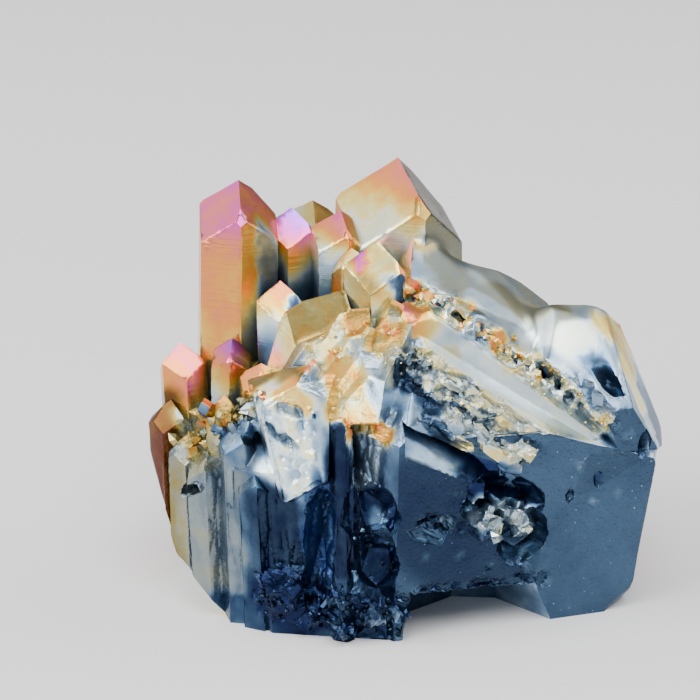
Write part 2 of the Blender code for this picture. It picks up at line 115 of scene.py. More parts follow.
# Rough ground, as lines with a reach: (from, to, reach, kind of relief, how strong).
ROUGH_GROUND = (
    # the scaly facet under the long smooth ridge
    ((0.2, -5.2, 21.8), (5.4, -5.8, 19.2), 1.7, "scales", 1.0),
    ((2.2, -6.8, 18.4), (8.8, -6.6, 16.2), 1.7, "scales", 1.0),
    # the crown of the prow and the two blocks below it, fused and lumpy
    ((-6.8, -4.8, 22.6), (-1.6, -4.2, 24.0), 2.2, "lumps", 1.0),
    ((-5.6, -6.4, 21.2), (-3.2, -7.8, 17.4), 1.8, "lumps", 0.9),
    ((-10.8, -6.4, 20.0), (-9.4, -7.6, 13.4), 2.6, "lumps", 0.8),
    ((-10.4, -6.8, 17.8), (-9.8, -7.4, 13.6), 2.2, "chips", 0.5),
    ((-2.4, -7.2, 18.0), (-3.6, -7.0, 14.4), 1.4, "columns", 0.8),
    ((-8.4, -7.4, 18.6), (-8.0, -7.8, 13.0), 0.9, "chips", 0.9),
    # the pebbly strip
    ((0.8, -0.6, 26.3), (8.2, -1.8, 22.0), 1.4, "pebbles", 1.0),
    ((8.2, -2.5, 21.3), (14.6, -4.5, 17.0), 1.3, "chips", 0.6),
    # the face under the bright block, and the foot
    ((-11.0, -6.0, 9.0), (-9.6, -5.8, 6.0), 2.2, "columns", 1.0),
    ((-11.0, -7.4, 3.2), (-2.0, -8.6, 1.8), 2.4, "chips", 0.9),
    # the clefts, the pillar between them, and the hackly ground right of the hollow
    ((-7.4, -6.2, 13.0), (-6.6, -6.0, 4.0), 1.2, "columns", 0.9),
    ((-5.6, -8.3, 17.0), (-5.6, -8.0, 6.0), 0.8, "columns", 0.6),
    ((-3.2, -6.6, 12.0), (-2.2, -6.2, 6.6), 2.4, "chips", 0.45),
    ((1.0, -8.6, 10.2), (3.6, -7.8, 9.4), 0.7, "chips", 1.0),
    # the pocket, and the ragged lip of the overhang
    ((4.8, -7.0, 12.0), (8.6, -5.4, 7.6), 2.2, "chips", 0.35),
    ((0.6, -8.0, 3.9), (10.2, -4.9, 3.6), 0.7, "chips", 1.0),
    # the left side: ribbed below, grainy between its points
    ((-18.4, 0.4, 13.0), (-13.4, -2.6, 16.2), 1.8, "lumps", 0.7),
    ((-18.4, 0.0, 10.0), (-17.4, -1.0, 4.0), 2.2, "columns", 0.4),
    ((-14.8, -3.4, 12.0), (-13.6, -4.8, 4.0), 2.6, "columns", 0.5),
)


def soft_step(values, off, on):
    """0 at off, 1 at on, with a soft rise between."""
    share = np.clip((values - off) / (on - off), 0.0, 1.0)
    return share * share * (3.0 - 2.0 * share)


def near_line(points, start, end, reach):
    """How much each point belongs to the ground within reach of a line: 1 well inside, 0 outside."""
    start = np.array(start)
    along = np.array(end) - start
    share = np.clip((points - start) @ along / (along @ along), 0.0, 1.0)
    distance = np.linalg.norm(points - start - share[:, None] * along, axis=1)
    return soft_step(distance, reach * LINE_FADE[0], reach * LINE_FADE[1])


def strongest(points, rows):
    """How much points belong to the ground of rows that read (from, to, reach, ..., how much)."""
    found = np.zeros(len(points))
    for start, end, reach, *_, amount in rows:
        found = np.maximum(found, amount * near_line(points, start, end, reach))
    return found


def ground_of(points, kind=None):
    """How rough the ground is at points of the table frame, for one kind of relief or for all."""
    return strongest(points, [row for row in ROUGH_GROUND if kind in (None, row[3])])


def edge_limit(middles, on_rim):
    """How long an edge may stay, in millimetres, by where its middle is."""
    behind = middles[:, 1] > BACK_FROM
    limit = np.where(behind, BACK_EDGE, FRONT_EDGE)
    limit = np.where(on_rim, np.where(behind, BACK_RIM_EDGE, RIM_EDGE), limit)
    limit = limit + (ROUGH_EDGE - limit) * np.clip(ground_of(middles) * ROUGH_ENOUGH, 0.0, 1.0)
    return np.where(middles[:, 2] < CUT_TOP, UNDERSIDE_EDGE, limit)


def solid_facets(node):
    """The solid's skin: points in the table frame, triangles, each one's facet, and facet normals."""
    bm = bmesh.new()
    bm.from_mesh(node.data)
    bmesh.ops.remove_doubles(bm, verts=bm.verts[:], dist=ONE_PLACE * MM)
    bmesh.ops.dissolve_limit(bm, angle_limit=ONE_PLANE, verts=bm.verts[:], edges=bm.edges[:])
    number = bm.faces.layers.int.new("facet")
    normals = []
    for index, face in enumerate(bm.faces):
        face[number] = index
        normals.append(face.normal[:])
    bmesh.ops.triangulate(bm, faces=bm.faces[:])
    bm.verts.index_update()
    points = np.array([vert.co[:] for vert in bm.verts]) / MM - PROW_FOOT
    triangles = np.array([[vert.index for vert in face.verts] for face in bm.faces])
    facets = np.array([face[number] for face in bm.faces])
    bm.free()
    return points, triangles, facets, np.array(normals)


def edges_of(triangles, count):
    """The ends of each edge once, and for each triangle the numbers of its three edges."""
    pairs = np.sort(triangles[:, [[0, 1], [1, 2], [2, 0]]].reshape(-1, 2), axis=1)
    keys, sides = np.unique(pairs[:, 0] * count + pairs[:, 1], return_inverse=True)
    return np.stack([keys // count, keys % count], axis=1), sides.reshape(-1, 3)


def rim_points(ends, sides, facets, facet_normals, count):
    """Whether each point lies where two facets meet at an angle."""
    lowest = np.full(len(ends), len(facet_normals))
    highest = np.full(len(ends), -1)
    owners = np.repeat(facets, 3)
    np.minimum.at(lowest, sides.ravel(), owners)
    np.maximum.at(highest, sides.ravel(), owners)
    turn = (facet_normals[lowest] * facet_normals[highest]).sum(axis=1)
    on_rim = np.zeros(count, dtype=bool)
    on_rim[ends[turn < math.cos(RIM_ANGLE)].ravel()] = True
    return on_rim


def turned_to(triangles, split, first):
    """Triangles turned so that side number `first` comes first: their corners and split points."""
    rows = np.arange(len(triangles))[:, None]
    order = (first[:, None] + np.arange(3)) % 3
    return triangles[rows, order].T, split[rows, order].T


def divide(points, triangles, facets, facet_normals):
    """Split edges until none is longer than its limit; the pieces keep their facet's number."""
    while True:
        ends, sides = edges_of(triangles, len(points))
        on_rim = rim_points(ends, sides, facets, facet_normals, len(points))
        middles = points[ends].mean(axis=1)
        lengths = np.linalg.norm(points[ends[:, 0]] - points[ends[:, 1]], axis=1)
        too_long = lengths > edge_limit(middles, on_rim[ends].any(axis=1))
        if not too_long.any():
            return points, triangles, facets, on_rim
        number = np.full(len(ends), -1)
        number[too_long] = len(points) + np.arange(too_long.sum())
        points = np.concatenate([points, middles[too_long]])
        split = number[sides]
        count = (split >= 0).sum(axis=1)
        parts = [triangles[count == 0]]
        owners = [facets[count == 0]]

        chosen = count == 1
        first = split[chosen].argmax(axis=1)
        (a, b, c), (m, _, _) = turned_to(triangles[chosen], split[chosen], first)
        parts += [np.stack([a, m, c], axis=1), np.stack([m, b, c], axis=1)]
        owners += [facets[chosen]] * 2

        chosen = count == 2
        first = split[chosen].argmin(axis=1)
        (c, a, b), (_, m, n) = turned_to(triangles[chosen], split[chosen], first)
        across = np.linalg.norm(points[a] - points[n], axis=1)
        shorter = across < np.linalg.norm(points[m] - points[c], axis=1)
        parts += [
            np.stack([m, b, n], axis=1),
            np.stack([a, m, np.where(shorter, n, c)], axis=1),
            np.stack([np.where(shorter, a, m), n, c], axis=1)]
        owners += [facets[chosen]] * 3

        chosen = count == 3
        a, b, c = triangles[chosen].T
        m, n, o = split[chosen].T
        parts += [np.stack(part, axis=1) for part in ((a, m, o), (m, b, n), (o, n, c), (m, n, o))]
        owners += [facets[chosen]] * 4
        triangles = np.concatenate(parts)
        facets = np.concatenate(owners)


solid_points, solid_triangles, solid_owners, facet_normals = solid_facets(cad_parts[STONE_NODE])
solid_tree = BVHTree.FromPolygons(solid_points.tolist(), solid_triangles.tolist())
points, triangles, facets, on_rim = divide(
    solid_points, solid_triangles, solid_owners, facet_normals)
normals = facet_normals[facets]


# How open each place is, from 0 deep in a cleft to 1 on a tip: the coat comes from outside as a
# vapour, so it is thickest where it can be reached from all round.  The same openness sets the
# painted shade that darkens the clefts.
OPEN_RAYS = 26
OPEN_REACH = 6.0
RAY_START = 0.03
# Rays flatter to the skin than this are left out, and one that hits counts this much at most.
FLATTEST_RAY = 0.1
HIT_SHARE = 0.5
# How strongly, and how often, the openness is drawn even.
OPEN_EVENING = (0.5, 3)
# Keeps a division by nothing from failing.
TINY = 1e-9


def spread_directions(count):
    """Directions spread evenly over a sphere."""
    turn = np.arange(count) * math.pi * (3.0 - math.sqrt(5.0))
    height = 1.0 - (np.arange(count) + 0.5) * 2.0 / count
    flat = np.sqrt(1.0 - height * height)
    return np.stack([flat * np.cos(turn), flat * np.sin(turn), height], axis=1)


def openness(points, outward):
    """The share of the open directions in which nothing of the stone stands close by."""
    directions = spread_directions(OPEN_RAYS)
    rays = [Vector(row) for row in directions]
    facing = outward @ directions.T
    starts = points + outward * RAY_START
    free = np.zeros(len(points))
    for place, start in enumerate(starts):
        origin = Vector(start)
        reached = 0.0
        total = 0.0
        for number in np.flatnonzero(facing[place] > FLATTEST_RAY):
            weight = facing[place, number]
            total += weight
            distance = solid_tree.ray_cast(origin, rays[number], OPEN_REACH)[3]
            if distance is None:
                reached += weight
            else:
                reached += weight * distance / OPEN_REACH * HIT_SHARE
        free[place] = reached / max(total, FLATTEST_RAY)
    return free


def summed(rows, places, count):
    """Rows of numbers summed by the number of the place that each row belongs to."""
    return np.stack([np.bincount(places, column, minlength=count) for column in rows.T], axis=1)


def unit(rows):
    """Each row scaled to a length of one."""
    return rows / np.maximum(np.linalg.norm(rows, axis=1), TINY)[:, None]


def crossed(points, triangles):
    """The way each triangle faces, as a vector twice as long as its area."""
    sides = points[triangles]
    return np.cross(sides[:, 1] - sides[:, 0], sides[:, 2] - sides[:, 0])


def outward_of(points, triangles, normals):
    """The mean outward direction at each point."""
    weighed = normals * np.linalg.norm(crossed(points, triangles), axis=1)[:, None]
    return unit(summed(np.repeat(weighed, 3, axis=0), triangles.ravel(), len(points)))


ends, _ = edges_of(triangles, len(points))
neighbours = np.bincount(ends.ravel(), minlength=len(points))


def relaxed(values, weight, passes):
    """Numbers or places drawn towards the mean of their neighbours'."""
    shape = values.shape
    values = values.reshape(len(values), -1)
    for _ in range(passes):
        total = summed(values[ends[:, 1]], ends[:, 0], len(values))
        total = total + summed(values[ends[:, 0]], ends[:, 1], len(values))
        values = values + (total / neighbours[:, None] - values) * weight[:, None]
    return values.reshape(shape)


outward = outward_of(points, triangles, normals)
open_here = relaxed(
    openness(points, outward), np.full(len(points), OPEN_EVENING[0]), OPEN_EVENING[1])


# Growth relief: it is cut inwards, so the stone keeps its size.  Smooth faces swell a little; rough
# ground breaks into scales, pebbles, chips, fused lumps or ribs; rims are a little worn; and the old
# upper slope is worn round all over.  Swells and worn rims: (width, depth).
SWELLS = (2.6, 0.05)
WORN_RIM = (1.1, 0.03)
# Faces that differ by more than this meet in a sharp edge.
SHARP = math.radians(38.0)
# The scaly facet: down the slope along the ridge, and up the slope across it.
RIDGE_WAY = np.array((0.818, -0.112, -0.565))
UP_SLOPE = np.array((0.442, 0.654, 0.511))

# Worn or fused ground: (from, to, reach, how much).
WORN_GROUND = (
    # the upper slope and its right shoulder
    ((3.2, 2.6, 27.2), (11.0, 0.4, 23.6), 3.0, 1.0),
    ((11.0, -0.2, 23.2), (16.2, 0.6, 21.6), 2.6, 0.9),
    ((17.0, 0.8, 21.0), (19.4, -0.6, 13.0), 2.0, 0.35),
    # the long smooth ridge
    ((1.4, -3.2, 23.8), (14.0, -4.4, 15.8), 1.3, 0.3),
    # the split face's right and lower rims
    ((19.0, -2.4, 11.6), (16.0, -3.0, 2.4), 1.6, 0.25),
    ((16.6, -2.8, 1.6), (12.0, -3.8, 1.8), 1.4, 0.25),
    # the crown of the prow
    ((-6.8, -4.8, 22.8), (-1.6, -4.2, 24.0), 1.8, 0.12),
)
# How strongly, and how often, worn ground is drawn smooth.
WORN_EVENING = (0.6, 40)

# Pits of the split face: (place, width, depth).
PITS = (
    ((12.4, -4.9, 10.7), 0.5, 0.3),
    ((14.3, -4.2, 9.9), 0.4, 0.25),
    ((16.4, -3.5, 10.4), 0.35, 0.25),
    ((13.0, -4.8, 13.4), 0.45, 0.25),
    ((15.6, -4.4, 16.6), 0.6, 0.35),
    ((16.9, -4.0, 15.6), 0.5, 0.3),
    ((10.4, -5.7, 9.4), 0.4, 0.22),
    ((2.6, -8.0, 9.6), 1.0, 0.5),
    ((0.9, -8.6, 9.9), 0.7, 0.4),
    ((4.0, -7.4, 6.9), 0.5, 0.3),
    ((1.2, -8.3, 7.0), 0.4, 0.3),
    ((6.2, -6.5, 5.6), 0.45, 0.25),
    ((3.6, -8.0, 12.2), 0.45, 0.22),
    ((9.0, -5.5, 5.2), 0.6, 0.3),
    ((17.4, -3.2, 7.0), 0.3, 0.15),
    ((14.8, -3.8, 4.6), 0.3, 0.15),
)
# A pit's rim strays by this share over this length, and its floor is this share of its width.
PIT_STRAY = (0.4, 0.4)
PIT_FLOOR = 0.35

# Notches of the bright block: (from, to, reach, depth).
NOTCHES = (
    ((-10.2, -6.7, 18.9), (-8.7, -7.1, 18.5), 0.36, 0.34),
    ((-9.0, -7.1, 18.5), (-8.6, -7.3, 17.6), 0.26, 0.26),
    ((-11.2, -6.7, 17.3), (-9.2, -7.3, 16.0), 0.32, 0.32),
    ((-9.6, -7.2, 16.4), (-8.6, -7.5, 16.6), 0.22, 0.22),
    ((-10.8, -6.8, 15.4), (-10.0, -7.1, 15.0), 0.22, 0.22),
)
# How far the notches wander, and over what length.
NOTCH_WANDER = (0.30, 0.7)


def mixed(cells, seed):
    """A random number from 0 to 1 for each whole-number place, the same each time."""
    x, y, z = cells.astype(np.int64).T.astype(np.uint32)
    key = x * np.uint32(374761393) + y * np.uint32(668265263) + z * np.uint32(2246822519)
    key = key + np.uint32(seed * 974711 % 2**32)
    for turn, factor in ((15, 2246822519), (13, 3266489917), (16, 1)):
        key = (key ^ (key >> np.uint32(turn))) * np.uint32(factor)
    return key.astype(np.float64) / 2**32


def swell(points, size, seed):
    """Smooth noise from -1 to 1 with swells of one size."""
    base = np.floor(points / size)
    inside = points / size - base
    inside = inside * inside * (3.0 - 2.0 * inside)
    total = np.zeros(len(points))
    for corner in np.ndindex(2, 2, 2):
        share = np.prod(np.where(np.array(corner) == 1, inside, 1.0 - inside), axis=1)
        total += share * mixed(base + corner, seed)
    return total * 2.0 - 1.0


def drifts(points, size, seed):
    """Three smooth noises side by side, to shift points by."""
    return np.stack([swell(points, size, seed + axis) for axis in range(3)], axis=1)


def plates(points, size, seed):
    """Random plates: each point's plate as three random numbers, the way from the plate's middle in
    plate sizes, and how far out that is: 0 in the middle, 1 at the rim."""
    base = np.floor(points / size)
    nearest = np.full(len(points), np.inf)
    second = np.full(len(points), np.inf)
    way = np.zeros_like(points)
    cell = np.zeros_like(points)
    for corner in np.ndindex(3, 3, 3):
        here = base + np.array(corner) - 1.0
        middle = here + np.stack([mixed(here, seed + axis) for axis in range(3)], axis=1)
        apart = points / size - middle
        distance = np.linalg.norm(apart, axis=1)
        closer = distance < nearest
        second = np.minimum(second, np.where(closer, nearest, distance))
        nearest = np.where(closer, distance, nearest)
        way = np.where(closer[:, None], apart, way)
        cell = np.where(closer[:, None], here, cell)
    dice = np.stack([mixed(cell, seed + 3 + axis) for axis in range(3)], axis=1)
    return dice, way, nearest / np.maximum(second, TINY)


def scales(points):
    """Overlapping scales, longer down the ridge than across it, whose lower lips stand up.  Depths:
    how unevenly they lie, how far they overlap, and the gaps between."""
    size, lie, lap, gap = 1.3, 0.12, 0.24, 0.16
    ways = np.stack([RIDGE_WAY * 0.72, UP_SLOPE, np.cross(UP_SLOPE, RIDGE_WAY) * 0.6], axis=1)
    bent = 0.2 * swell(points, 1.0, seed=40)[:, None]
    dice, way, out = plates(points @ ways + bent, size, seed=41)
    lapped = np.clip(0.5 + way[:, 1] * 0.9 + (dice[:, 1] - 0.5) * way[:, 0], 0.0, 1.0)
    return lie * dice[:, 0] + lap * lapped + gap * soft_step(out, 0.70, 1.0)


def pebbles(points):
    """Rounded crystal heads, packed side by side."""
    size, lie, gap, roundness = 1.5, 0.14, 0.44, 2.5
    dice, _, out = plates(points, size, seed=51)
    return lie * dice[:, 0] + gap * out ** roundness


def chips(points):
    """Broken ground: plates at random depths that tip this way and that, on two scales."""
    total = np.zeros(len(points))
    for size, step, tilt, seed in ((1.25, 0.16, 0.26, 61), (0.6, 0.07, 0.09, 71)):
        dice, way, _ = plates(points, size, seed)
        slope = ((dice * 2.0 - 1.0) * way).sum(axis=1) * tilt
        total += np.clip(dice[:, 0] * step + slope + tilt * 0.35, 0.0, None)
    return total


def lumps(points):
    """Fused ground: soft lumps with a few thin ledges, mostly level, and a fine unevenness."""
    lump, ledge, fine = 0.30, 0.10, 0.03
    soft = lump * (0.5 + 0.5 * swell(points, 1.5, seed=81))
    ledges = np.abs(swell(points * (0.7, 0.7, 1.6), 1.1, seed=82))
    uneven = fine * (1.0 + swell(points, 0.6, seed=83))
    return soft + ledge * soft_step(ledges, 0.25, 0.0) + uneven


def columns(points):
    """Ribs that run up the stone, far longer than they are wide."""
    size, stretch, lie, gap, fine = 0.85, 0.14, 0.10, 0.20, 0.05
    dice, _, out = plates(points * (1.0, 1.0, stretch), size, seed=91)
    return lie * dice[:, 0] + gap * out ** 2 + fine * (1.0 + swell(points, 0.6, seed=92))


def worn_ground(points):
    """How much the ground is worn round at points of the table frame."""
    worn = strongest(points, WORN_GROUND)
    return worn * (1.0 - np.maximum(ground_of(points, "pebbles"), ground_of(points, "chips")))


# Each kind of relief: (relief, how much its tops and gaps differ in film, how satin it is).
KINDS = {
    "scales": (scales, 0.65, 0.95),
    "pebbles": (pebbles, 1.3, 0.65),
    "chips": (chips, 1.0, 0.65),
    "lumps": (lumps, 0.9, 1.1),
    "columns": (columns, 1.0, 0.65),
}
# Ground weaker than this stays smooth, and places this deep are the bottom of a gap.
WEAKEST = 0.01
GAP_DEPTH = 0.42

depth = (swell(points, SWELLS[0], seed=1) + 1.0) * SWELLS[1] / 2.0
# How high each place stands within its own rough ground: 1 on top, -1 in the gaps.
raised = np.zeros(len(points))
for kind, (relief, tint, _) in KINDS.items():
    amount = ground_of(points, kind)
    found = amount > WEAKEST
    deep = relief(points[found])
    depth[found] += amount[found] * deep
    raised[found] += amount[found] * tint * np.clip(1.0 - 2.0 * deep / GAP_DEPTH, -1.0, 1.0)
depth += np.where(on_rim, WORN_RIM[1] * (1.0 + swell(points, WORN_RIM[0], seed=3)), 0.0)
for place, width, deep in PITS:
    stray = 1.0 + PIT_STRAY[0] * swell(points, PIT_STRAY[1], seed=5)
    away = np.linalg.norm(points - place, axis=1) * stray
    depth += deep * soft_step(away, width, width * PIT_FLOOR)
wandered = points + NOTCH_WANDER[0] * drifts(points, NOTCH_WANDER[1], 34)
for start, end, reach, deep in NOTCHES:
    depth += deep * near_line(wandered, start, end, reach)
on_cut = points[:, 2] < CUT_TOP
depth = np.where(on_cut, 0.0, depth)
worked = points - outward * depth[:, None]

worked = relaxed(
    worked, np.where(on_cut, 0.0, worn_ground(points) * WORN_EVENING[0]), WORN_EVENING[1])
worked[:, 2] = np.where(on_cut, worked[:, 2], np.maximum(worked[:, 2], CUT_TOP))

mesh = bpy.data.meshes.new("stone")
mesh.from_pydata(((worked + PROW_FOOT) * MM).tolist(), [], triangles.tolist())
mesh.shade_smooth()
mesh.set_sharp_from_angle(angle=SHARP)
stone = placed("stone", mesh)


# The coat's thickness, which is its colour: navy in the clefts, then steel blue, silver, gold,
# orange, pink and violet where it is thickest.  Each large point thickens towards its own tip:
# (tip, foot, width, film at the tip, below it and at the end, how far down that is, shade).
POINT_FILMS = (
    # the tall left point, the small one left of it, and the violet one
    ((-13.6, 7.0, 32.9), (-14.1, 5.5, 6.0), 6.2, (0.92, 0.76, 0.60), 12.0, 0.80),
    ((-18.2, 4.0, 20.4), (-17.6, 3.5, 6.0), 3.6, (0.84, 0.76, 0.60), 7.0, 0.80),
    ((-9.4, 8.0, 30.4), (-9.4, 7.0, 12.0), 4.0, (1.00, 0.88, 0.36), 6.0, 0.95),
    ((-5.5, 6.0, 30.7), (-5.6, 5.0, 12.0), 4.4, (0.82, 0.70, 0.30), 4.0, 0.80),
    ((-7.8, 12.2, 29.6), (-8.4, 11.0, 8.0), 7.4, (0.60, 0.52, 0.30), 9.0, 0.45),
    # the great point and those in front of it
    ((-0.9, 9.0, 34.1), (-1.0, 5.5, 10.0), 9.0, (0.85, 0.69, 0.41), 6.6, 0.80),
    ((-2.6, 1.0, 29.8), (-2.4, 0.6, 12.0), 4.9, (0.82, 0.68, 0.48), 5.0, 0.85),
    ((-4.7, 2.9, 28.6), (-4.9, 2.6, 12.0), 2.8, (0.62, 0.56, 0.40), 5.0, 0.85),
    # the stepped left shoulder
    ((-10.2, 3.0, 25.9), (-9.9, 2.4, 10.0), 3.9, (0.78, 0.70, 0.24), 5.0, 0.85),
    ((-5.4, 0.2, 26.1), (-9.8, 0.4, 10.0), 7.0, (0.58, 0.56, 0.50), 9.0, 0.50),
    ((-11.8, -0.8, 20.4), (-12.2, -0.6, 6.0), 3.0, (0.74, 0.62, 0.46), 5.0, 0.60),
    ((-14.1, 2.0, 21.4), (-14.2, 1.8, 6.0), 3.2, (0.88, 0.72, 0.50), 5.0, 0.70),
    ((-14.7, -1.2, 17.9), (-15.0, -1.4, 4.0), 3.0, (0.66, 0.56, 0.44), 6.0, 0.50),
    # the long smooth ridge, gold at its upper end
    ((-0.2, -2.2, 25.8), (14.4, -4.5, 15.4), 3.0, (0.76, 0.60, 0.435), 3.6, 0.95),
    # the points of the far side
    ((5.6, 12.0, 23.4), (4.0, 5.0, 8.0), 6.2, (0.80, 0.62, 0.34), 9.0, 0.85),
    ((12.4, 10.6, 19.6), (10.0, 4.0, 6.0), 5.6, (0.94, 0.72, 0.40), 9.0, 0.85),
    ((-3.4, 15.0, 21.0), (-3.0, 8.0, 5.0), 5.6, (0.90, 0.72, 0.36), 10.0, 0.85),
    ((-14.8, 12.4, 20.5), (-12.0, 7.0, 4.0), 5.0, (0.98, 0.78, 0.42), 10.0, 0.85),
    ((18.8, 8.6, 14.6), (13.0, 2.0, 8.0), 4.4, (0.80, 0.62, 0.40), 7.0, 0.85),
)
# Where those three films and the root's lie, as shares of that way down, and how much thinner the
# root's film is than the third.
FILM_STEPS = np.array((0.0, 0.35, 1.0, 2.5))
ROOT_THINNER = 0.10
# A facet is a point's own if its middle is within this share of the point's width from the axis,
# and no more than this above the tip.
OWN_WIDTH = 0.62
ABOVE_TIP = 0.5
# Clouds in a large point's film: (width, strength).
OWN_CLOUDS = (1.9, 0.085)

# Ground of no large point: its film below and how much thicker it is above, and between which
# heights that rises; its shade; and the strength of growth lines on its steep faces.
PLAIN_FILM = (0.16, 0.20)
PLAIN_RISE = (12.0, 22.0)
PLAIN_SHADE = 0.85
PLAIN_LINES = 0.3
# Behind, between these places along Y, the film thickens outwards from a root, by these reaches:
# the thinnest, how much thicker the most open places are, and the share of that close to the root.
REAR_FROM = (1.5, 4.5)
FAN_ROOT = np.array((0.0, 2.0, 5.0))
FAN_REACH = np.array((18.8, 13.0, 18.0))
FAN_FILM = (0.10, 0.68, 0.40)

# The split face: how it faces, how far left it reaches, its film and shade, and its clouds.
SPLIT_WAY = np.array((0.308, -0.947, -0.087))
SPLIT_FROM = (-1.6, -1.0)
SPLIT_FILM = 0.195
SPLIT_SHADE = 0.72
SPLIT_CLOUDS = (3.0, 0.02)

# Single facets that differ: (a place on the facet, film, shade), and how far they are drawn to it.
FACET_PULL = 0.75
FACET_FILMS = (
    # the tall left point: pink left face, orange right face, greenish right side
    ((-14.6, 5.1, 30.7), 0.89, 0.85),
    ((-12.3, 4.3, 30.1), 0.70, 0.75),
    ((-13.1, 3.3, 25.9), 0.58, 0.70),
    # the great point's olive right side, darkened with painted shade, and its neighbours
    ((1.5, 4.3, 30.5), 0.55, 0.24),
    ((1.7, 6.0, 30.9), 0.57, 0.10),
    ((-3.1, 0.2, 28.7), 0.70, 0.85),
    ((-4.8, 0.0, 27.9), 0.52, 0.95),
    # the shoulder: an olive lens and a bright yellow facet lightened as a painted highlight; below
    # them, dark olive facets darkened with painted shade
    ((-6.3, -0.7, 24.8), 0.60, 0.28),
    ((-9.4, -1.7, 21.8), 0.57, 1.15),
    ((-9.4, -4.5, 21.2), 0.56, 0.20),
    ((-11.6, -3.55, 20.15), 0.57, 0.14),
    ((-13.4, -0.6, 18.9), 0.57, 0.30),
    ((-18.3, 2.1, 17.1), 0.76, 0.85),
    ((-12.6, -0.8, 19.7), 0.67, 0.95),
)

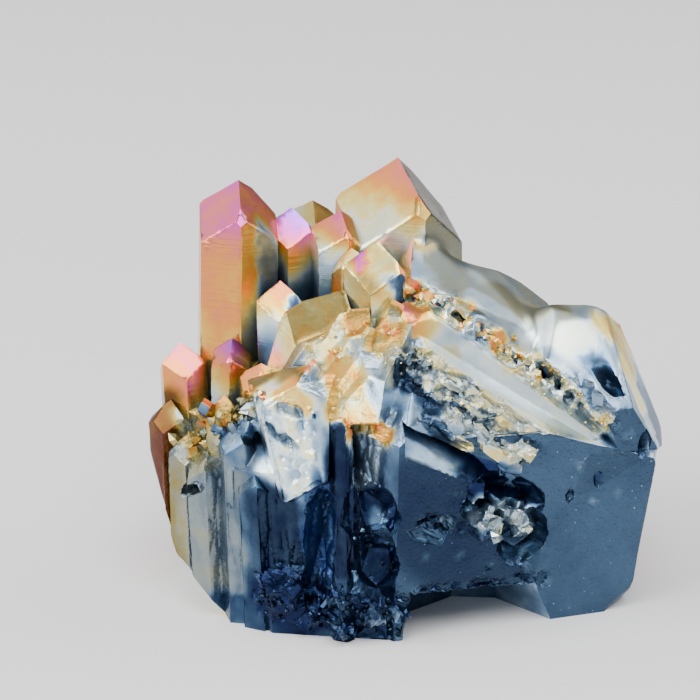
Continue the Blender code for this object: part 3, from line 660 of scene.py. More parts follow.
# Places where the film differs from all that: (from, to, reach, film, shade).
FILM_PLACES = (
    # the left side: dark gold and olive grey, brown at the far left, lavender by the block
    ((-17.6, -1.6, 4.0), (-17.6, 0.0, 13.0), 2.6, 0.49, 0.26),
    ((-15.6, -3.2, 4.0), (-15.6, -2.4, 13.0), 1.8, 0.47, 0.30),
    ((-13.6, -4.8, 4.0), (-13.4, -4.0, 14.0), 1.6, 0.38, 0.36),
    ((-17.4, -3.0, 3.0), (-17.0, -3.4, 13.0), 1.6, 0.46, 0.34),
    ((-19.0, 1.6, 8.0), (-19.4, 2.4, 15.0), 2.0, 0.72, 0.12),
    ((-17.0, 0.4, 14.4), (-14.0, -1.6, 16.4), 1.6, 0.60, 0.45),
    # the tall left point's right side, down in the gap, and the shoulder's dark blue edge
    ((-11.1, 4.7, 31.5), (-10.9, 4.4, 16.0), 1.2, 0.37, 0.50),
    ((-9.2, 1.8, 25.6), (-9.1, 1.7, 22.0), 0.5, 0.15, 0.70),
    # the bright block, lightened past its own colour as painted light, and the gold block
    ((-10.6, -6.6, 19.0), (-9.6, -7.6, 12.8), 2.8, 0.47, 1.35),
    ((-9.8, -6.4, 20.4), (-8.4, -7.0, 19.4), 1.2, 0.60, 1.05),
    ((-7.4, -7.8, 18.0), (-7.2, -8.0, 12.4), 0.6, 0.36, 1.05),
    ((-5.2, -6.2, 21.0), (-4.0, -7.6, 17.6), 2.0, 0.635, 0.88),
    # the olive shoulder above it and the bright block's notches, darkened with painted shade
    ((-13.2, -3.2, 18.4), (-11.0, -3.4, 20.8), 0.9, 0.56, 0.20),
    ((-10.2, -6.7, 18.9), (-8.7, -7.1, 18.5), 0.40, 0.36, 0.60),
    ((-11.2, -6.7, 17.3), (-9.2, -7.3, 16.0), 0.36, 0.32, 0.55),
    # the face under the bright block, teal, and the foot, navy
    ((-11.0, -6.0, 10.5), (-9.6, -6.0, 6.5), 2.0, 0.13, 0.55),
    ((-11.5, -7.4, 3.4), (-8.0, -8.0, 2.0), 2.6, 0.07, 0.8),
    ((-6.0, -8.0, 2.0), (-1.5, -8.6, 2.4), 2.2, 0.12, 0.7),
    ((-3.0, -8.4, 2.0), (-1.4, -8.6, 2.4), 0.7, 0.26, 0.9),
    # the clefts, the pillar between them, and the hollow
    ((-7.2, -6.4, 13.0), (-6.6, -6.0, 3.0), 1.6, 0.10, 1.7),
    ((-5.6, -8.3, 17.4), (-5.6, -8.0, 6.0), 0.9, 0.09, 0.50),
    ((-3.2, -6.4, 11.4), (-2.4, -6.2, 6.6), 2.4, 0.10, 0.75),
    ((-2.9, -6.8, 10.4), (-2.0, -6.6, 7.4), 0.6, 0.23, 1.5),
    # the crown of the prow
    ((-7.0, -4.0, 22.8), (-2.0, -3.0, 24.4), 2.0, 0.59, 0.72),
    ((-3.2, -4.8, 24.2), (-2.2, -5.2, 23.4), 0.9, 0.60, 0.85),
    ((-8.2, -5.6, 22.2), (-6.8, -4.8, 22.8), 0.6, 0.78, 0.9),
    # the pink-edged point: its magenta and olive sides, and the blue gaps below it
    ((-4.1, 1.0, 29.4), (-4.0, -0.2, 28.2), 0.5, 0.90, 1.0),
    ((-4.2, -0.8, 26.9), (-3.2, -1.1, 26.7), 0.7, 0.56, 0.40),
    ((-1.6, -0.8, 27.2), (-0.8, -0.6, 27.0), 0.6, 0.22, 0.8),
    # the scaly facet: silver with tan, deep blue by the prow
    ((0.4, -5.4, 21.6), (9.4, -6.6, 16.4), 2.7, 0.475, 0.68),
    ((-0.8, -5.6, 21.0), (1.2, -6.8, 18.8), 0.9, 0.13, 0.75),
    ((3.4, -8.0, 16.6), (7.6, -7.8, 15.2), 0.5, 0.54, 0.75),
    # the slot below it, darkened with painted shade, and the pale and lavender facets under the slot
    ((0.4, -7.2, 16.8), (4.6, -6.2, 14.4), 0.5, 0.10, 0.6),
    ((0.5, -8.4, 16.0), (4.4, -7.4, 13.4), 1.4, 0.31, 1.05),
    ((-3.6, -7.4, 15.6), (-4.0, -6.8, 13.4), 1.4, 0.34, 0.75),
    # the long smooth ridge, silver
    ((4.6, -3.4, 22.2), (14.4, -4.5, 15.4), 1.1, 0.415, 1.15),
    # the upper slope, its right shoulder and the pale ledge
    ((3.0, 2.6, 27.4), (10.0, 0.8, 24.0), 2.6, 0.50, 0.29),
    ((5.0, 0.6, 25.2), (12.0, -1.0, 22.0), 1.0, 0.42, 0.70),
    ((5.6, 4.6, 26.6), (10.6, 6.8, 23.0), 2.0, 0.45, 0.60),
    ((10.6, -0.2, 23.4), (13.0, -0.8, 22.2), 1.8, 0.46, 1.15),
    ((15.4, 1.4, 22.6), (17.4, 0.6, 20.4), 1.5, 0.57, 0.80),
    ((16.8, -0.6, 20.4), (18.0, -1.6, 17.0), 1.0, 0.53, 1.05),
    ((14.2, -1.6, 20.6), (15.8, -1.2, 18.2), 1.2, 0.24, 1.6),
    # the pebbly strip: orange heads above, purple grey below
    ((0.8, -0.6, 26.3), (8.2, -1.8, 22.0), 1.4, 0.67, 1.10),
    ((9.2, -1.2, 21.2), (14.8, -3.6, 16.4), 0.8, 0.54, 1.15),
    ((8.2, -2.5, 21.3), (14.6, -4.5, 17.0), 1.1, 0.53, 0.85),
    ((18.6, -2.0, 15.8), (19.0, -2.4, 12.0), 0.8, 0.40, 0.9),
    # the pocket: deep blue, with lit crystals on its floor
    ((4.6, -6.8, 13.2), (8.6, -4.4, 11.4), 1.7, 0.09, 0.9),
    ((5.8, -6.6, 10.2), (8.8, -4.8, 8.6), 1.4, 0.42, 0.95),
    ((6.6, -6.6, 9.4), (7.6, -6.2, 9.2), 0.6, 0.53, 1.1),
)
# How uneven the borders of these places are: (width, share of their reach).
UNEVEN = (1.7, 0.4)
# The split face darkens in film and shade towards the hollow, and a thicker film in its pits paints
# glints.
SPLIT_DARK = ((0.8, -8.5, 11.6), (5.4, -6.9, 6.0), 4.4)
SPLIT_DARKER = (0.075, 0.14)
PIT_PAINTED_GLINT = 0.12
# The growth lines of the scaly facet run down the ridge, in patches: (width, from, to).
SCALY_LINE = ((0.6, -5.6, 21.0), (9.0, -6.6, 16.4), 2.2)
SCALY_PATCHES = (1.6, -0.1, 0.4)

# Facets differ by chance in film, and in shade from a least one up.  Tops have a thicker film than
# gaps.  Clouds are stronger on fused lumps: (width, strength, how much stronger).  Deep in a cleft
# the film is thinner, and painted shade darkens the colour there to this share of what it is outside.
FACET_SPREAD = 0.08
FACET_SHADES = (0.86, 0.28)
TOP_THICKER = 0.13
CLOUDS = (1.3, 0.02, 0.05)
CLEFT_THINNER = 0.14
CLEFT_PAINTED_SHADE = 0.42
# How satin worn ground is, how much of its satin the split face loses in its pits, and how grainy
# rough ground is.
WORN_SATIN = 0.55
PIT_GLOSS = 0.7
ROUGH_GRAIN = 0.35
# The flat cut that the stone stands on is satin and a little grainy, with an even film.
CUT_FILM = 0.25
CUT_CLOUDS = (3.4, 0.04)
CUT_SHADE = 0.70
CUT_GRAIN = 0.6


def down_from(places, tip, foot):
    """How far down from its tip, along a large point's axis, places lie; and that axis."""
    axis = np.array(tip) - np.array(foot)
    axis /= np.linalg.norm(axis)
    return (np.array(tip) - places) @ axis, axis


def owners_of_facets():
    """The large point that each facet belongs to, or -1."""
    weights = np.linalg.norm(crossed(points, triangles), axis=1) + TINY
    total = np.bincount(facets, weights, minlength=len(facet_normals))
    middles = points[triangles].mean(axis=1) * weights[:, None]
    centres = summed(middles, facets, len(facet_normals)) / np.maximum(total, TINY)[:, None]
    owner = np.full(len(facet_normals), -1)
    nearest = np.full(len(facet_normals), OWN_WIDTH)
    for number, (tip, foot, width, _, _, _) in enumerate(POINT_FILMS):
        down, axis = down_from(centres, tip, foot)
        aside = np.linalg.norm(np.array(tip) - centres - down[:, None] * axis, axis=1) / width
        mine = (aside < nearest) & (down > -ABOVE_TIP)
        nearest = np.where(mine, aside, nearest)
        owner = np.where(mine, number, owner)
    return owner


def draw_to(coat, here, **values):
    """Draw parts of the coat towards new values, all the way where `here` is 1."""
    for name, value in values.items():
        coat[name] = coat[name] + here * (value - coat[name])


def plain_coat(points, normals, open_here):
    """The coat of ground that belongs to no large point: thicker above, and outwards behind."""
    thinnest, thicker, near_root = FAN_FILM
    out = soft_step(np.linalg.norm((points - FAN_ROOT) / FAN_REACH, axis=1), 0.55, 1.0)
    fan = thicker * soft_step(open_here, 0.3, 1.0) * (near_root + (1.0 - near_root) * out)
    coat = {
        "film": PLAIN_FILM[0] + PLAIN_FILM[1] * soft_step(points[:, 2], *PLAIN_RISE),
        "shade": np.full(len(points), PLAIN_SHADE),
        "along": points[:, 2].copy(),
        "lines": PLAIN_LINES * soft_step(np.abs(normals[:, 2]), 0.6, 0.3),
    }
    draw_to(coat, soft_step(points[:, 1], *REAR_FROM), film=thinnest + fan)
    return coat


def coat_large_points(coat, points, normals, facets):
    """Give each large point its own film from the tip down, with growth lines across it."""
    owner = owners_of_facets()[facets]
    for number, (tip, foot, _, films, reach, bright) in enumerate(POINT_FILMS):
        mine = owner == number
        down, axis = down_from(points[mine], tip, foot)
        films = (*films, films[2] - ROOT_THINNER)
        coat["film"][mine] = np.interp(down, FILM_STEPS * reach, films)
        coat["shade"][mine] = bright
        coat["along"][mine] = down
        coat["lines"][mine] = soft_step(np.abs(normals[mine] @ axis), 0.5, 0.2)
    clouds = OWN_CLOUDS[1] * swell(points, OWN_CLOUDS[0], seed=9)
    coat["film"] += np.where(owner >= 0, clouds, 0.0)


def coat_places(coat, points, facets):
    """Give single facets, and the places of the table, their own film and shade."""
    for place, film, bright in FACET_FILMS:
        here = facets == solid_owners[solid_tree.find_nearest(Vector(place))[2]]
        coat["film"][here] += FACET_PULL * (film - coat["film"][here])
        coat["shade"][here] = bright
    drift = UNEVEN[1] * drifts(points, UNEVEN[0], 31)
    for start, end, reach, film, bright in FILM_PLACES:
        here = near_line(points + drift * reach, start, end, reach)
        draw_to(coat, here, film=film, shade=bright)


def coat_split_face(coat, points, normals):
    """Give the split face its even film with painted glints in its pits, and tell where the face is
    and where its pits are.
    """
    split = soft_step(normals @ SPLIT_WAY, 0.97, 0.99) * soft_step(points[:, 0], *SPLIT_FROM)
    pits = np.zeros(len(points))
    for place, width, _ in PITS:
        away = np.linalg.norm(points - place, axis=1)
        pits = np.maximum(pits, soft_step(away, width, width * 0.4))
    film, shade = (
        usual - less * near_line(points, *SPLIT_DARK)
        for usual, less in zip((SPLIT_FILM, SPLIT_SHADE), SPLIT_DARKER))
    draw_to(coat, split, film=film, shade=shade, lines=0.0)
    coat["film"] += split * SPLIT_CLOUDS[1] * swell(points, SPLIT_CLOUDS[0], seed=11)
    # painted glints: a thicker, lighter film in the split face's pits
    coat["film"] += PIT_PAINTED_GLINT * split * pits
    return split, pits


def coat_at(points, normals, facets, raised, open_here):
    """The coat at the corners of the mesh: the film's thickness and shade, how satin and how grainy
    it is, how far along its crystal each corner lies, and how strong the growth lines are."""
    coat = plain_coat(points, normals, open_here)
    coat_large_points(coat, points, normals, facets)
    coat_places(coat, points, facets)
    split, pits = coat_split_face(coat, points, normals)
    worn = worn_ground(points)
    coat["lines"] *= 1.0 - soft_step(worn, 0.0, 0.2)
    scaly = near_line(points, *SCALY_LINE)
    coat["along"] = np.where(scaly > 0.3, points @ RIDGE_WAY, coat["along"])
    patches = soft_step(swell(points, SCALY_PATCHES[0], seed=8), *SCALY_PATCHES[1:])
    coat["lines"] = np.maximum(coat["lines"], scaly * patches)

    lot = np.stack([facets, facets * 0 + 7, facets * 0], axis=1)
    film = coat["film"]
    film += (mixed(lot, seed=5) - 0.5) * FACET_SPREAD * soft_step(film, 0.25, 0.5)
    film += TOP_THICKER * raised * soft_step(film, 0.0, 0.25)
    clouds = CLOUDS[1] + CLOUDS[2] * ground_of(points, "lumps")
    film += clouds * swell(points, CLOUDS[0], seed=7) * (1.0 - split)
    film -= CLEFT_THINNER * soft_step(open_here, 0.65, 0.15) * soft_step(film, 0.1, 0.5)
    coat["shade"] *= FACET_SHADES[0] + FACET_SHADES[1] * mixed(lot, seed=6)
    # painted shade: the colour is darkened where the stone is less open
    coat["shade"] *= CLEFT_PAINTED_SHADE + (1.0 - CLEFT_PAINTED_SHADE) * soft_step(open_here, 0.05, 0.60)

    satin = np.maximum(split * (1.0 - PIT_GLOSS * pits), WORN_SATIN * soft_step(worn, 0.0, 0.3))
    for kind, (_, _, dull) in KINDS.items():
        satin = np.maximum(satin, dull * ground_of(points, kind))
    coat["satin"] = satin
    coat["grain"] = np.maximum(split, ROUGH_GRAIN * ground_of(points))
    even_film = CUT_FILM + CUT_CLOUDS[1] * swell(points, CUT_CLOUDS[0], seed=12)
    on_cut = ((normals[:, 2] < -0.9) & (points[:, 2] < CUT_TOP)).astype(float)
    draw_to(coat, on_cut, film=even_film, shade=CUT_SHADE, satin=1.0, grain=CUT_GRAIN, lines=0.0)
    return coat


def store(mesh, name, values):
    """Keep one number for each corner of the mesh, for the coat to read."""
    mesh.attributes.new(name, "FLOAT", "CORNER").data.foreach_set("value", values.astype(np.float32))


corners = triangles.ravel()
corner_facets = np.repeat(facets, 3)
stone_coat = coat_at(
    points[corners], facet_normals[corner_facets], corner_facets, raised[corners], open_here[corners])
for name, values in stone_coat.items():
    store(mesh, name, values)


# The film's colours, as a node group: each thickness shows its own colour, mottled where the
# vapour settled unevenly, and scaled by the shade number, which holds painted shade and painted
# light besides the coat's own tones; bright flecks in it are painted glints.
FILM_COLOURS = (
    (0.00, (0.003, 0.006, 0.024)),
    (0.08, (0.007, 0.019, 0.076)),
    (0.17, (0.038, 0.080, 0.150)),
    (0.26, (0.105, 0.195, 0.320)),
    (0.36, (0.320, 0.440, 0.560)),
    (0.44, (0.620, 0.740, 0.760)),
    (0.50, (0.820, 0.830, 0.580)),
    (0.56, (0.880, 0.720, 0.240)),
    (0.63, (0.900, 0.500, 0.090)),
    (0.70, (0.880, 0.330, 0.075)),
    (0.77, (0.870, 0.250, 0.140)),
    (0.84, (0.850, 0.150, 0.300)),
    (0.91, (0.720, 0.110, 0.520)),
    (1.00, (0.400, 0.130, 0.850)),
)


def new_group(name, inputs, output):
    """A shader node group with number inputs, given with their usual values, and one output."""
    group = bpy.data.node_groups.new(name, "ShaderNodeTree")
    for label, usual in inputs:
        socket = group.interface.new_socket(label, in_out="INPUT", socket_type="NodeSocketFloat")
        socket.default_value = usual
    kind = "NodeSocketColor" if output == "Color" else "NodeSocketFloat"
    group.interface.new_socket(output, in_out="OUTPUT", socket_type=kind)
    return group, group.nodes.new("NodeGroupInput"), group.nodes.new("NodeGroupOutput")


def feed(tree, socket, value):
    """Give a socket a number, or link it to another node's output."""
    if isinstance(value, (int, float)):
        socket.default_value = value
    else:
        tree.links.new(value, socket)


def sums(tree, operation, *values):
    """A math node whose inputs are numbers or other nodes' outputs; gives its output."""
    node = tree.nodes.new("ShaderNodeMath")
    node.operation = operation
    for socket, value in zip(node.inputs, values):
        feed(tree, socket, value)
    return node.outputs[0]


def texture(tree, kind, scale):
    """A texture node, laid out in the object's own space."""
    place = tree.nodes.new("ShaderNodeTexCoord")
    node = tree.nodes.new(kind)
    tree.links.new(place.outputs["Object"], node.inputs["Vector"])
    feed(tree, node.inputs["Scale"], scale)
    return node


def cloud(tree, scale, detail):
    """Soft noise over the object, from 0 to 1."""
    node = texture(tree, "ShaderNodeTexNoise", scale)
    node.inputs["Detail"].default_value = detail
    return node.outputs["Fac"]


# The wide blotches' scale, as a share of the fine ones'.
WIDE_BLOTCH = 0.4
# Painted glints: small bright flecks, one to a cell at most, drawn as a thicker film.  How many
# cells there are to a metre, and how a fleck falls off from its middle.
GLINT_FLECK_CELLS = 1500.0
GLINT_FLECK_FALL = (-16.0, 1.7)

film_group, given, result = new_group(
    "film_colour",
    (("Film", 0.4), ("Shade", 1.0), ("Mottle", 0.1), ("Mottle Size", 900.0), ("Painted Glint", 0.0)), "Color")
wide_size = sums(film_group, "MULTIPLY", given.outputs["Mottle Size"], WIDE_BLOTCH)
fine_blotch = cloud(film_group, given.outputs["Mottle Size"], 5.0)
blotch = sums(film_group, "ADD", fine_blotch, cloud(film_group, wide_size, 3.0))
blotch = sums(film_group, "SUBTRACT", blotch, 1.0)
film_here = sums(film_group, "MULTIPLY_ADD", blotch, given.outputs["Mottle"], given.outputs["Film"])
# painted glints: small bright flecks worked into the film colour
cells = texture(film_group, "ShaderNodeTexVoronoi", GLINT_FLECK_CELLS)
glint_spot = sums(film_group, "MULTIPLY_ADD", cells.outputs["Distance"], *GLINT_FLECK_FALL)
glint_spot.node.use_clamp = True
glint_spot = sums(film_group, "MULTIPLY", glint_spot, cells.outputs["Color"])
film_here = sums(film_group, "MULTIPLY_ADD", glint_spot, given.outputs["Painted Glint"], film_here)
ramp = film_group.nodes.new("ShaderNodeValToRGB")
while len(ramp.color_ramp.elements) < len(FILM_COLOURS):
    ramp.color_ramp.elements.new(0.5)
for element, (thickness, colour) in zip(ramp.color_ramp.elements, FILM_COLOURS):
    element.position = thickness
    element.color = (*colour, 1.0)
dim = film_group.nodes.new("ShaderNodeMix")
dim.data_type = "RGBA"
dim.blend_type = "MULTIPLY"
dim.inputs["Factor"].default_value = 1.0
feed(film_group, ramp.inputs["Fac"], film_here)
feed(film_group, dim.inputs["A"], ramp.outputs["Color"])
feed(film_group, dim.inputs["B"], given.outputs["Shade"])
feed(film_group, result.inputs["Color"], dim.outputs["Result"])

# The finest relief, as a node group: growth lines across each crystal, and a grain of tiny
# crystals on a ripple, all in millimetres of height.
LINES_HIGH = 0.03
GRAIN_HIGH = 0.05
RIPPLE_HIGH = 0.10
RIPPLE_SCALE = 800.0
# The growth lines' layout: how close they are, how uneven, and how and how far they wander.
STRATA = {"Scale": 3.6, "Detail": 3.0, "Roughness": 0.65}
WANDER_SCALE = 260.0
WANDER = 0.5

relief_group, given, result = new_group(
    "fine_relief", (("Along", 0.0), ("Lines", 0.0), ("Grain", 0.0), ("Grain Size", 4200.0)), "Height")
strata = relief_group.nodes.new("ShaderNodeTexNoise")
strata.noise_dimensions = "1D"
for label, value in STRATA.items():
    strata.inputs[label].default_value = value
stray = cloud(relief_group, WANDER_SCALE, 2.0)
stray = sums(relief_group, "MULTIPLY_ADD", stray, WANDER, given.outputs["Along"])
relief_group.links.new(stray, strata.inputs["W"])
grains = texture(relief_group, "ShaderNodeTexVoronoi", given.outputs["Grain Size"])
height = 0.0
for shape, strength, high in (
        (strata.outputs["Fac"], "Lines", LINES_HIGH),
        (grains.outputs["Distance"], "Grain", GRAIN_HIGH),
        (cloud(relief_group, RIPPLE_SCALE, 4.0), "Grain", RIPPLE_HIGH)):
    shape = sums(relief_group, "MULTIPLY", shape, given.outputs[strength])
    height = sums(relief_group, "MULTIPLY_ADD", shape, high, height)
relief_group.links.new(height, result.inputs["Height"])


def use_group(tree, group, values):
    """Place a node group with its own values; gives its one output."""
    node = tree.nodes.new("ShaderNodeGroup")
    node.node_tree = group
    for label, value in values.items():
        feed(tree, node.inputs[label], value)
    return node.outputs[0]


# The coat's metal; how much less mottled satin ground is; how much grain there is everywhere; how
# strong the fine relief is; and clouds in the gloss: (scale, detail, how much rougher).
COAT_METAL = 0.85
SATIN_EVENER = 0.8
LEAST_GRAIN = 0.06
RELIEF_STRENGTH = 0.6
GLOSS_CLOUDS = (1600.0, 3.0, 0.12)


def coat_material(name, mottle, mottle_size, glint_fleck, grain, grain_size, lines, gloss, satin_gloss):
    """The metal-vapour coat: film colour with painted glints, growth lines and grain, glossy or
    satin.
    """
    material = bpy.data.materials.new(name)
    material.use_nodes = True
    tree = material.node_tree
    shader = tree.nodes["Principled BSDF"]
    shader.inputs["Metallic"].default_value = COAT_METAL
    read = {}
    for key in stone_coat:
        node = tree.nodes.new("ShaderNodeAttribute")
        node.attribute_name = key
        read[key] = node.outputs["Fac"]
    colour = use_group(tree, film_group, {
        "Film": read["film"],
        "Shade": read["shade"],
        "Mottle": sums(tree, "MULTIPLY_ADD", read["satin"], -SATIN_EVENER * mottle, mottle),
        "Mottle Size": mottle_size,
        "Painted Glint": sums(tree, "MULTIPLY", read["grain"], glint_fleck)})
    tree.links.new(colour, shader.inputs["Base Color"])
    height = use_group(tree, relief_group, {
        "Along": read["along"],
        "Lines": sums(tree, "MULTIPLY", read["lines"], lines),
        "Grain": sums(tree, "MULTIPLY_ADD", read["grain"], grain, LEAST_GRAIN),
        "Grain Size": grain_size})
    bump = tree.nodes.new("ShaderNodeBump")
    bump.inputs["Distance"].default_value = MM
    bump.inputs["Strength"].default_value = RELIEF_STRENGTH
    tree.links.new(height, bump.inputs["Height"])
    tree.links.new(bump.outputs["Normal"], shader.inputs["Normal"])
    scale, detail, rougher = GLOSS_CLOUDS
    clear = gloss - rougher / 2.0
    dull = sums(tree, "MULTIPLY_ADD", read["satin"], satin_gloss - gloss, clear)
    dull = sums(tree, "MULTIPLY_ADD", cloud(tree, scale, detail), rougher, dull)
    tree.links.new(dull, shader.inputs["Roughness"])
    return material


stone.data.materials.append(coat_material(
    "aura_coat", mottle=0.16, mottle_size=1000.0, glint_fleck=0.30, grain=3.2, grain_size=3600.0,
    lines=1.0, gloss=0.22, satin_gloss=0.40))
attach(stone, "root")
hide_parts(STONE_NODE)


# The fine druse: small six-sided crystals, each with a six-faced tip, that grew on the stone's
# rough ground and were coated with it.  They are one mesh, sunk a little into the skin.
# Rows: (from, to, reach, how many, (shortest, longest), lean, film at the tips, shade).
DRUSE_GROUND = (
    # the pebbly strip, large heads above and fine ones below
    ((0.8, -0.5, 26.2), (8.2, -1.7, 22.0), 1.4, 18, (0.8, 1.6), (0.3, -0.6, 0.7), 0.70, 1.00),
    ((8.6, -2.4, 21.0), (14.6, -4.5, 17.2), 1.2, 80, (0.3, 0.7), (0.4, -0.6, 0.7), 0.58, 0.70),
    ((8.6, -1.6, 21.6), (13.0, -3.0, 19.2), 0.5, 18, (0.4, 0.9), (0.4, -0.4, 0.8), 0.66, 0.9),
    # the scaly facet
    ((0.2, -5.0, 22.2), (5.2, -5.6, 19.6), 1.5, 14, (0.5, 1.0), (0.5, -0.5, 0.7), 0.58, 0.80),
    ((2.2, -6.8, 18.6), (8.8, -6.6, 16.4), 1.6, 30, (0.3, 0.7), (0.5, -0.5, 0.7), 0.50, 0.70),
    # the crown of the prow
    ((-6.8, -4.8, 22.8), (-1.6, -4.0, 24.2), 1.6, 16, (0.4, 1.0), (-0.2, -0.5, 0.8), 0.60, 0.85),
    # the left side between its points
    ((-17.2, -0.6, 14.0), (-13.0, -2.6, 16.8), 1.6, 46, (0.8, 2.2), (-0.4, -0.4, 0.8), 0.56, 0.50),
    ((-12.6, -2.6, 18.2), (-10.8, -5.4, 19.0), 0.9, 9, (0.7, 1.5), (-0.4, -0.4, 0.8), 0.74, 0.8),
    # the pocket
    ((5.8, -6.4, 10.0), (8.6, -4.6, 8.4), 1.3, 5, (1.4, 2.3), (0.0, -0.8, 0.4), 0.46, 0.8),
    # the foot, and the hollow's floor
    ((-11.0, -7.2, 3.0), (-2.0, -8.4, 1.8), 1.8, 90, (0.4, 1.1), (0.0, -0.8, 0.4), 0.16, 0.7),
    ((-3.4, -6.4, 7.6), (-1.8, -6.4, 6.0), 1.2, 20, (0.5, 1.1), (0.0, -0.7, 0.5), 0.26, 0.9),
    # the far side, in the hollows between its points
    ((-13.0, 7.0, 6.0), (-4.0, 10.0, 9.0), 5.0, 150, (0.6, 2.0), (-0.2, 0.8, 0.4), 0.66, 0.85),
    ((0.0, 9.0, 12.0), (9.0, 8.0, 12.0), 5.0, 150, (0.6, 2.0), (0.2, 0.8, 0.4), 0.68, 0.85),
    ((10.0, 5.0, 4.0), (14.0, 3.0, 9.0), 4.0, 90, (0.6, 1.8), (0.6, 0.6, 0.3), 0.62, 0.85),
    ((-17.0, 5.0, 4.0), (-16.0, 6.0, 10.0), 3.0, 50, (0.6, 1.6), (-0.7, 0.4, 0.4), 0.70, 0.8),
)
# None stands lower than this.  Behind, none stands where the stone is more open than the first of
# these, and they stand thickest below the second.
DRUSE_FROM = 0.6
RECESS_ONLY = (0.85, 0.60)
# How much a crystal follows the skin's outward way and its row's lean, and how far it strays; the
# higher the power, the more of them are short.
DRUSE_WAY = (0.8, 0.5, 0.15)
SHORT_POWER = 1.8
# How far the tips' films spread, the shades as shares of the row's, and the rest of the coat.
TIP_SPREAD = 0.08
DRUSE_SHADES = (0.75, 1.15)
DRUSE_COAT = {"satin": 0.1, "grain": 0.1, "lines": 0.3}
# Width as a share of length; and as shares of length, how deep the foot is sunk and where the tip
# begins.  The sides are uneven, the prism tapers, its shoulder zigzags and the tip stands aside.
DRUSE_WIDTH = (0.36, 0.58)
SUNK = 0.38
SHOULDER = (0.55, 0.75)
SIDES_UNEVEN = (0.85, 1.15)
TAPER = 0.97
ZIGZAG = 0.05
TIP_ASIDE = 0.25
# How far the film has thickened at the shoulder, and how far inside the stone's box crystals keep.
SHOULDER_FILM = 0.55
BOX_MARGIN = 0.05


def scatter(random):
    """Choose the druse's places: foot, way up, size and films of each crystal."""
    middles = points[triangles].mean(axis=1)
    across = crossed(worked, triangles)
    areas = np.linalg.norm(across, axis=1) / 2.0
    open_mean = open_here[triangles].mean(axis=1)
    local_film = stone_coat["film"].reshape(-1, 3).mean(axis=1)
    rows = []
    for start, end, reach, count, (short, long), lean, tip_film, bright in DRUSE_GROUND:
        chance = areas * near_line(middles, start, end, reach) * (middles[:, 2] > DRUSE_FROM)
        if end[1] > 0.0:
            chance = chance * soft_step(open_mean, *RECESS_ONLY)
        chosen = random.choice(len(areas), size=count, p=chance / chance.sum())
        share = np.sort(random.random((count, 2)), axis=1)
        share = np.stack([share[:, 0], share[:, 1] - share[:, 0], 1.0 - share[:, 1]], axis=1)
        foot = (worked[triangles[chosen]] * share[:, :, None]).sum(axis=1)
        axis = unit(across[chosen]) * DRUSE_WAY[0] + np.array(lean) * DRUSE_WAY[1]
        axis = unit(axis + random.normal(0.0, DRUSE_WAY[2], (count, 3)))
        length = short + (long - short) * random.random(count) ** SHORT_POWER
        tips = tip_film + random.normal(0.0, TIP_SPREAD, count)
        shades = bright * random.uniform(*DRUSE_SHADES, count)
        rows.append((foot, axis, length, local_film[chosen], tips, shades))
    return [np.concatenate(column) for column in zip(*rows)]


def druse_crystals(random):
    """All the small crystals as corners, triangles and, for each corner, film, shade and along."""
    foot, axis, length, low_film, tip_film, bright = scatter(random)
    count = len(foot)
    width = length * random.uniform(*DRUSE_WIDTH, count)
    helper = np.where(np.abs(axis[:, 2:]) < 0.9, (0.0, 0.0, 1.0), (1.0, 0.0, 0.0))
    first = unit(np.cross(axis, helper))
    second = np.cross(axis, first)
    turn = random.uniform(0.0, math.pi / 3.0, count)[:, None] + np.arange(6) * math.pi / 3.0
    ring = (first[:, None] * np.cos(turn)[:, :, None] + second[:, None] * np.sin(turn)[:, :, None])
    uneven = random.uniform(*SIDES_UNEVEN, (count, 6))[:, :, None]
    ring = ring * uneven * (width / 2.0)[:, None, None]
    up = axis * length[:, None]
    low = foot[:, None] + ring - up[:, None] * SUNK
    rise = random.uniform(*SHOULDER, (count, 1)) + np.tile((ZIGZAG, -ZIGZAG), 3) - SUNK
    shoulder = foot[:, None] + ring * TAPER + up[:, None] * rise[:, :, None]
    aside = ring.mean(axis=1) + ring[:, 0] * random.uniform(-TIP_ASIDE, TIP_ASIDE, (count, 1))
    tip = foot + up * (1.0 - SUNK) + aside
    verts = np.concatenate([low, shoulder, tip[:, None]], axis=1)

    shape = []
    for side in range(6):
        after = (side + 1) % 6
        shape += [(side, after, 6 + after), (side, 6 + after, 6 + side), (6 + side, 6 + after, 12)]
    shape += [(0, step + 1, step) for step in range(1, 5)]
    shape = np.array(shape)
    level = np.array([0.0] * 6 + [SHOULDER_FILM] * 6 + [1.0])
    film = low_film[:, None] + (tip_film - low_film)[:, None] * level
    rise_mm = level * length[:, None]

    box_low, box_high = (np.array(corner) / MM - PROW_FOOT for corner in cad_box)
    inside = ((verts > box_low + BOX_MARGIN) & (verts < box_high - BOX_MARGIN)).all(axis=(1, 2))
    verts = verts[inside]
    offsets = np.arange(len(verts)) * 13
    faces = (shape[None] + offsets[:, None, None]).reshape(-1, 3)
    corners_of = shape.ravel()
    return (
        verts.reshape(-1, 3), faces,
        film[inside][:, corners_of].ravel(),
        np.repeat(bright[inside], len(corners_of)),
        rise_mm[inside][:, corners_of].ravel())


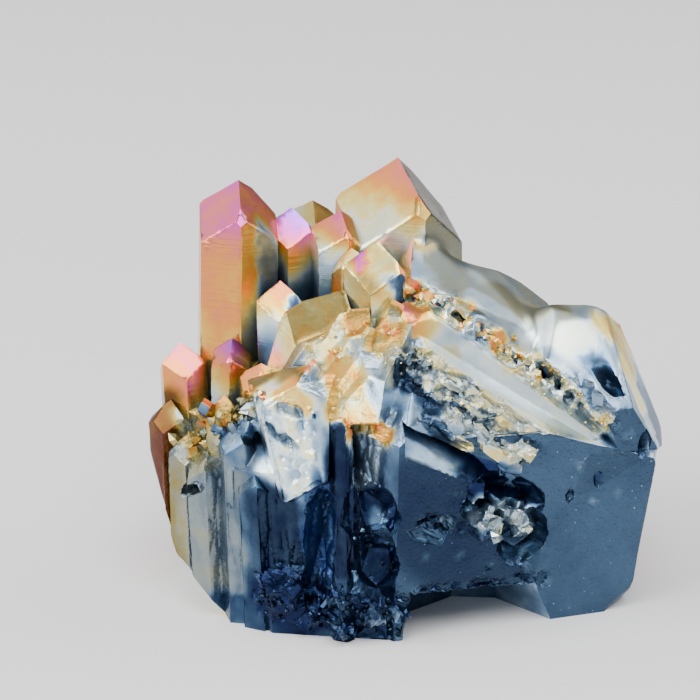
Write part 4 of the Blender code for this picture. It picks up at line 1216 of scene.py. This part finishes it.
druse_points, druse_faces, druse_film, druse_shade, druse_along = druse_crystals(
    np.random.default_rng(29))
druse_mesh = bpy.data.meshes.new("fine_druse")
druse_mesh.from_pydata(((druse_points + PROW_FOOT) * MM).tolist(), [], druse_faces.tolist())
druse = placed("fine_druse", druse_mesh)
varying = {"film": druse_film, "shade": druse_shade, "along": druse_along}
for name, values in (varying | DRUSE_COAT).items():
    store(druse_mesh, name, np.broadcast_to(values, druse_film.shape))
druse.data.materials.append(coat_material(
    "druse_coat", mottle=0.08, mottle_size=1400.0, glint_fleck=0.0, grain=0.5, grain_size=5200.0,
    lines=0.6, gloss=0.18, satin_gloss=0.30))
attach(druse, "root")


# Floor and light: a pale floor under two soft lamps, to the left and high in front, and three wide
# dim ones, to the right, behind on the left and in front, in a dim room.
FLOOR_SIDE = 3.0
FLOOR_COLOUR = (0.74, 0.74, 0.75, 1.0)
FLOOR_ROUGHNESS = 0.9
ROOM_COLOUR = (0.8, 0.8, 0.8, 1.0)
ROOM_STRENGTH = 0.26
# Square lamps that look at the stone: (name, degrees round from the front, degrees up, distance and
# side in metres, watts).
LAMPS = (
    ("left", -62.0, 32.0, 0.62, 0.50, 5.6),
    ("top", 14.0, 62.0, 0.70, 0.50, 5.0),
    ("right", 100.0, 36.0, 0.62, 0.60, 2.8),
    ("left wall", -116.0, 36.0, 0.70, 0.80, 2.8),
    ("front", 6.0, 14.0, 0.75, 0.90, 1.6),
)

floor_mesh = bpy.data.meshes.new("floor")
bm = bmesh.new()
bmesh.ops.create_grid(bm, x_segments=1, y_segments=1, size=FLOOR_SIDE / 2.0)
bm.to_mesh(floor_mesh)
bm.free()
floor = placed("floor", floor_mesh)
pale = bpy.data.materials.new("pale_floor")
pale.use_nodes = True
shader = pale.node_tree.nodes["Principled BSDF"]
shader.inputs["Base Color"].default_value = FLOOR_COLOUR
shader.inputs["Roughness"].default_value = FLOOR_ROUGHNESS
floor.data.materials.append(pale)

for name, azimuth, lift, distance, side, power in LAMPS:
    azimuth = math.radians(azimuth)
    lift = math.radians(lift)
    way = Vector((
        math.sin(azimuth) * math.cos(lift), -math.cos(azimuth) * math.cos(lift), math.sin(lift)))
    light = bpy.data.lights.new(name, "AREA")
    light.size = side
    light.energy = power
    lamp = placed(name, light)
    lamp.location = CAMERA_TARGET + way * distance
    lamp.rotation_euler = way.to_track_quat("Z", "Y").to_euler()
world = bpy.data.worlds.new("room")
world.use_nodes = True
shader = world.node_tree.nodes["Background"]
shader.inputs["Color"].default_value = ROOM_COLOUR
shader.inputs["Strength"].default_value = ROOM_STRENGTH
bpy.context.scene.world = world
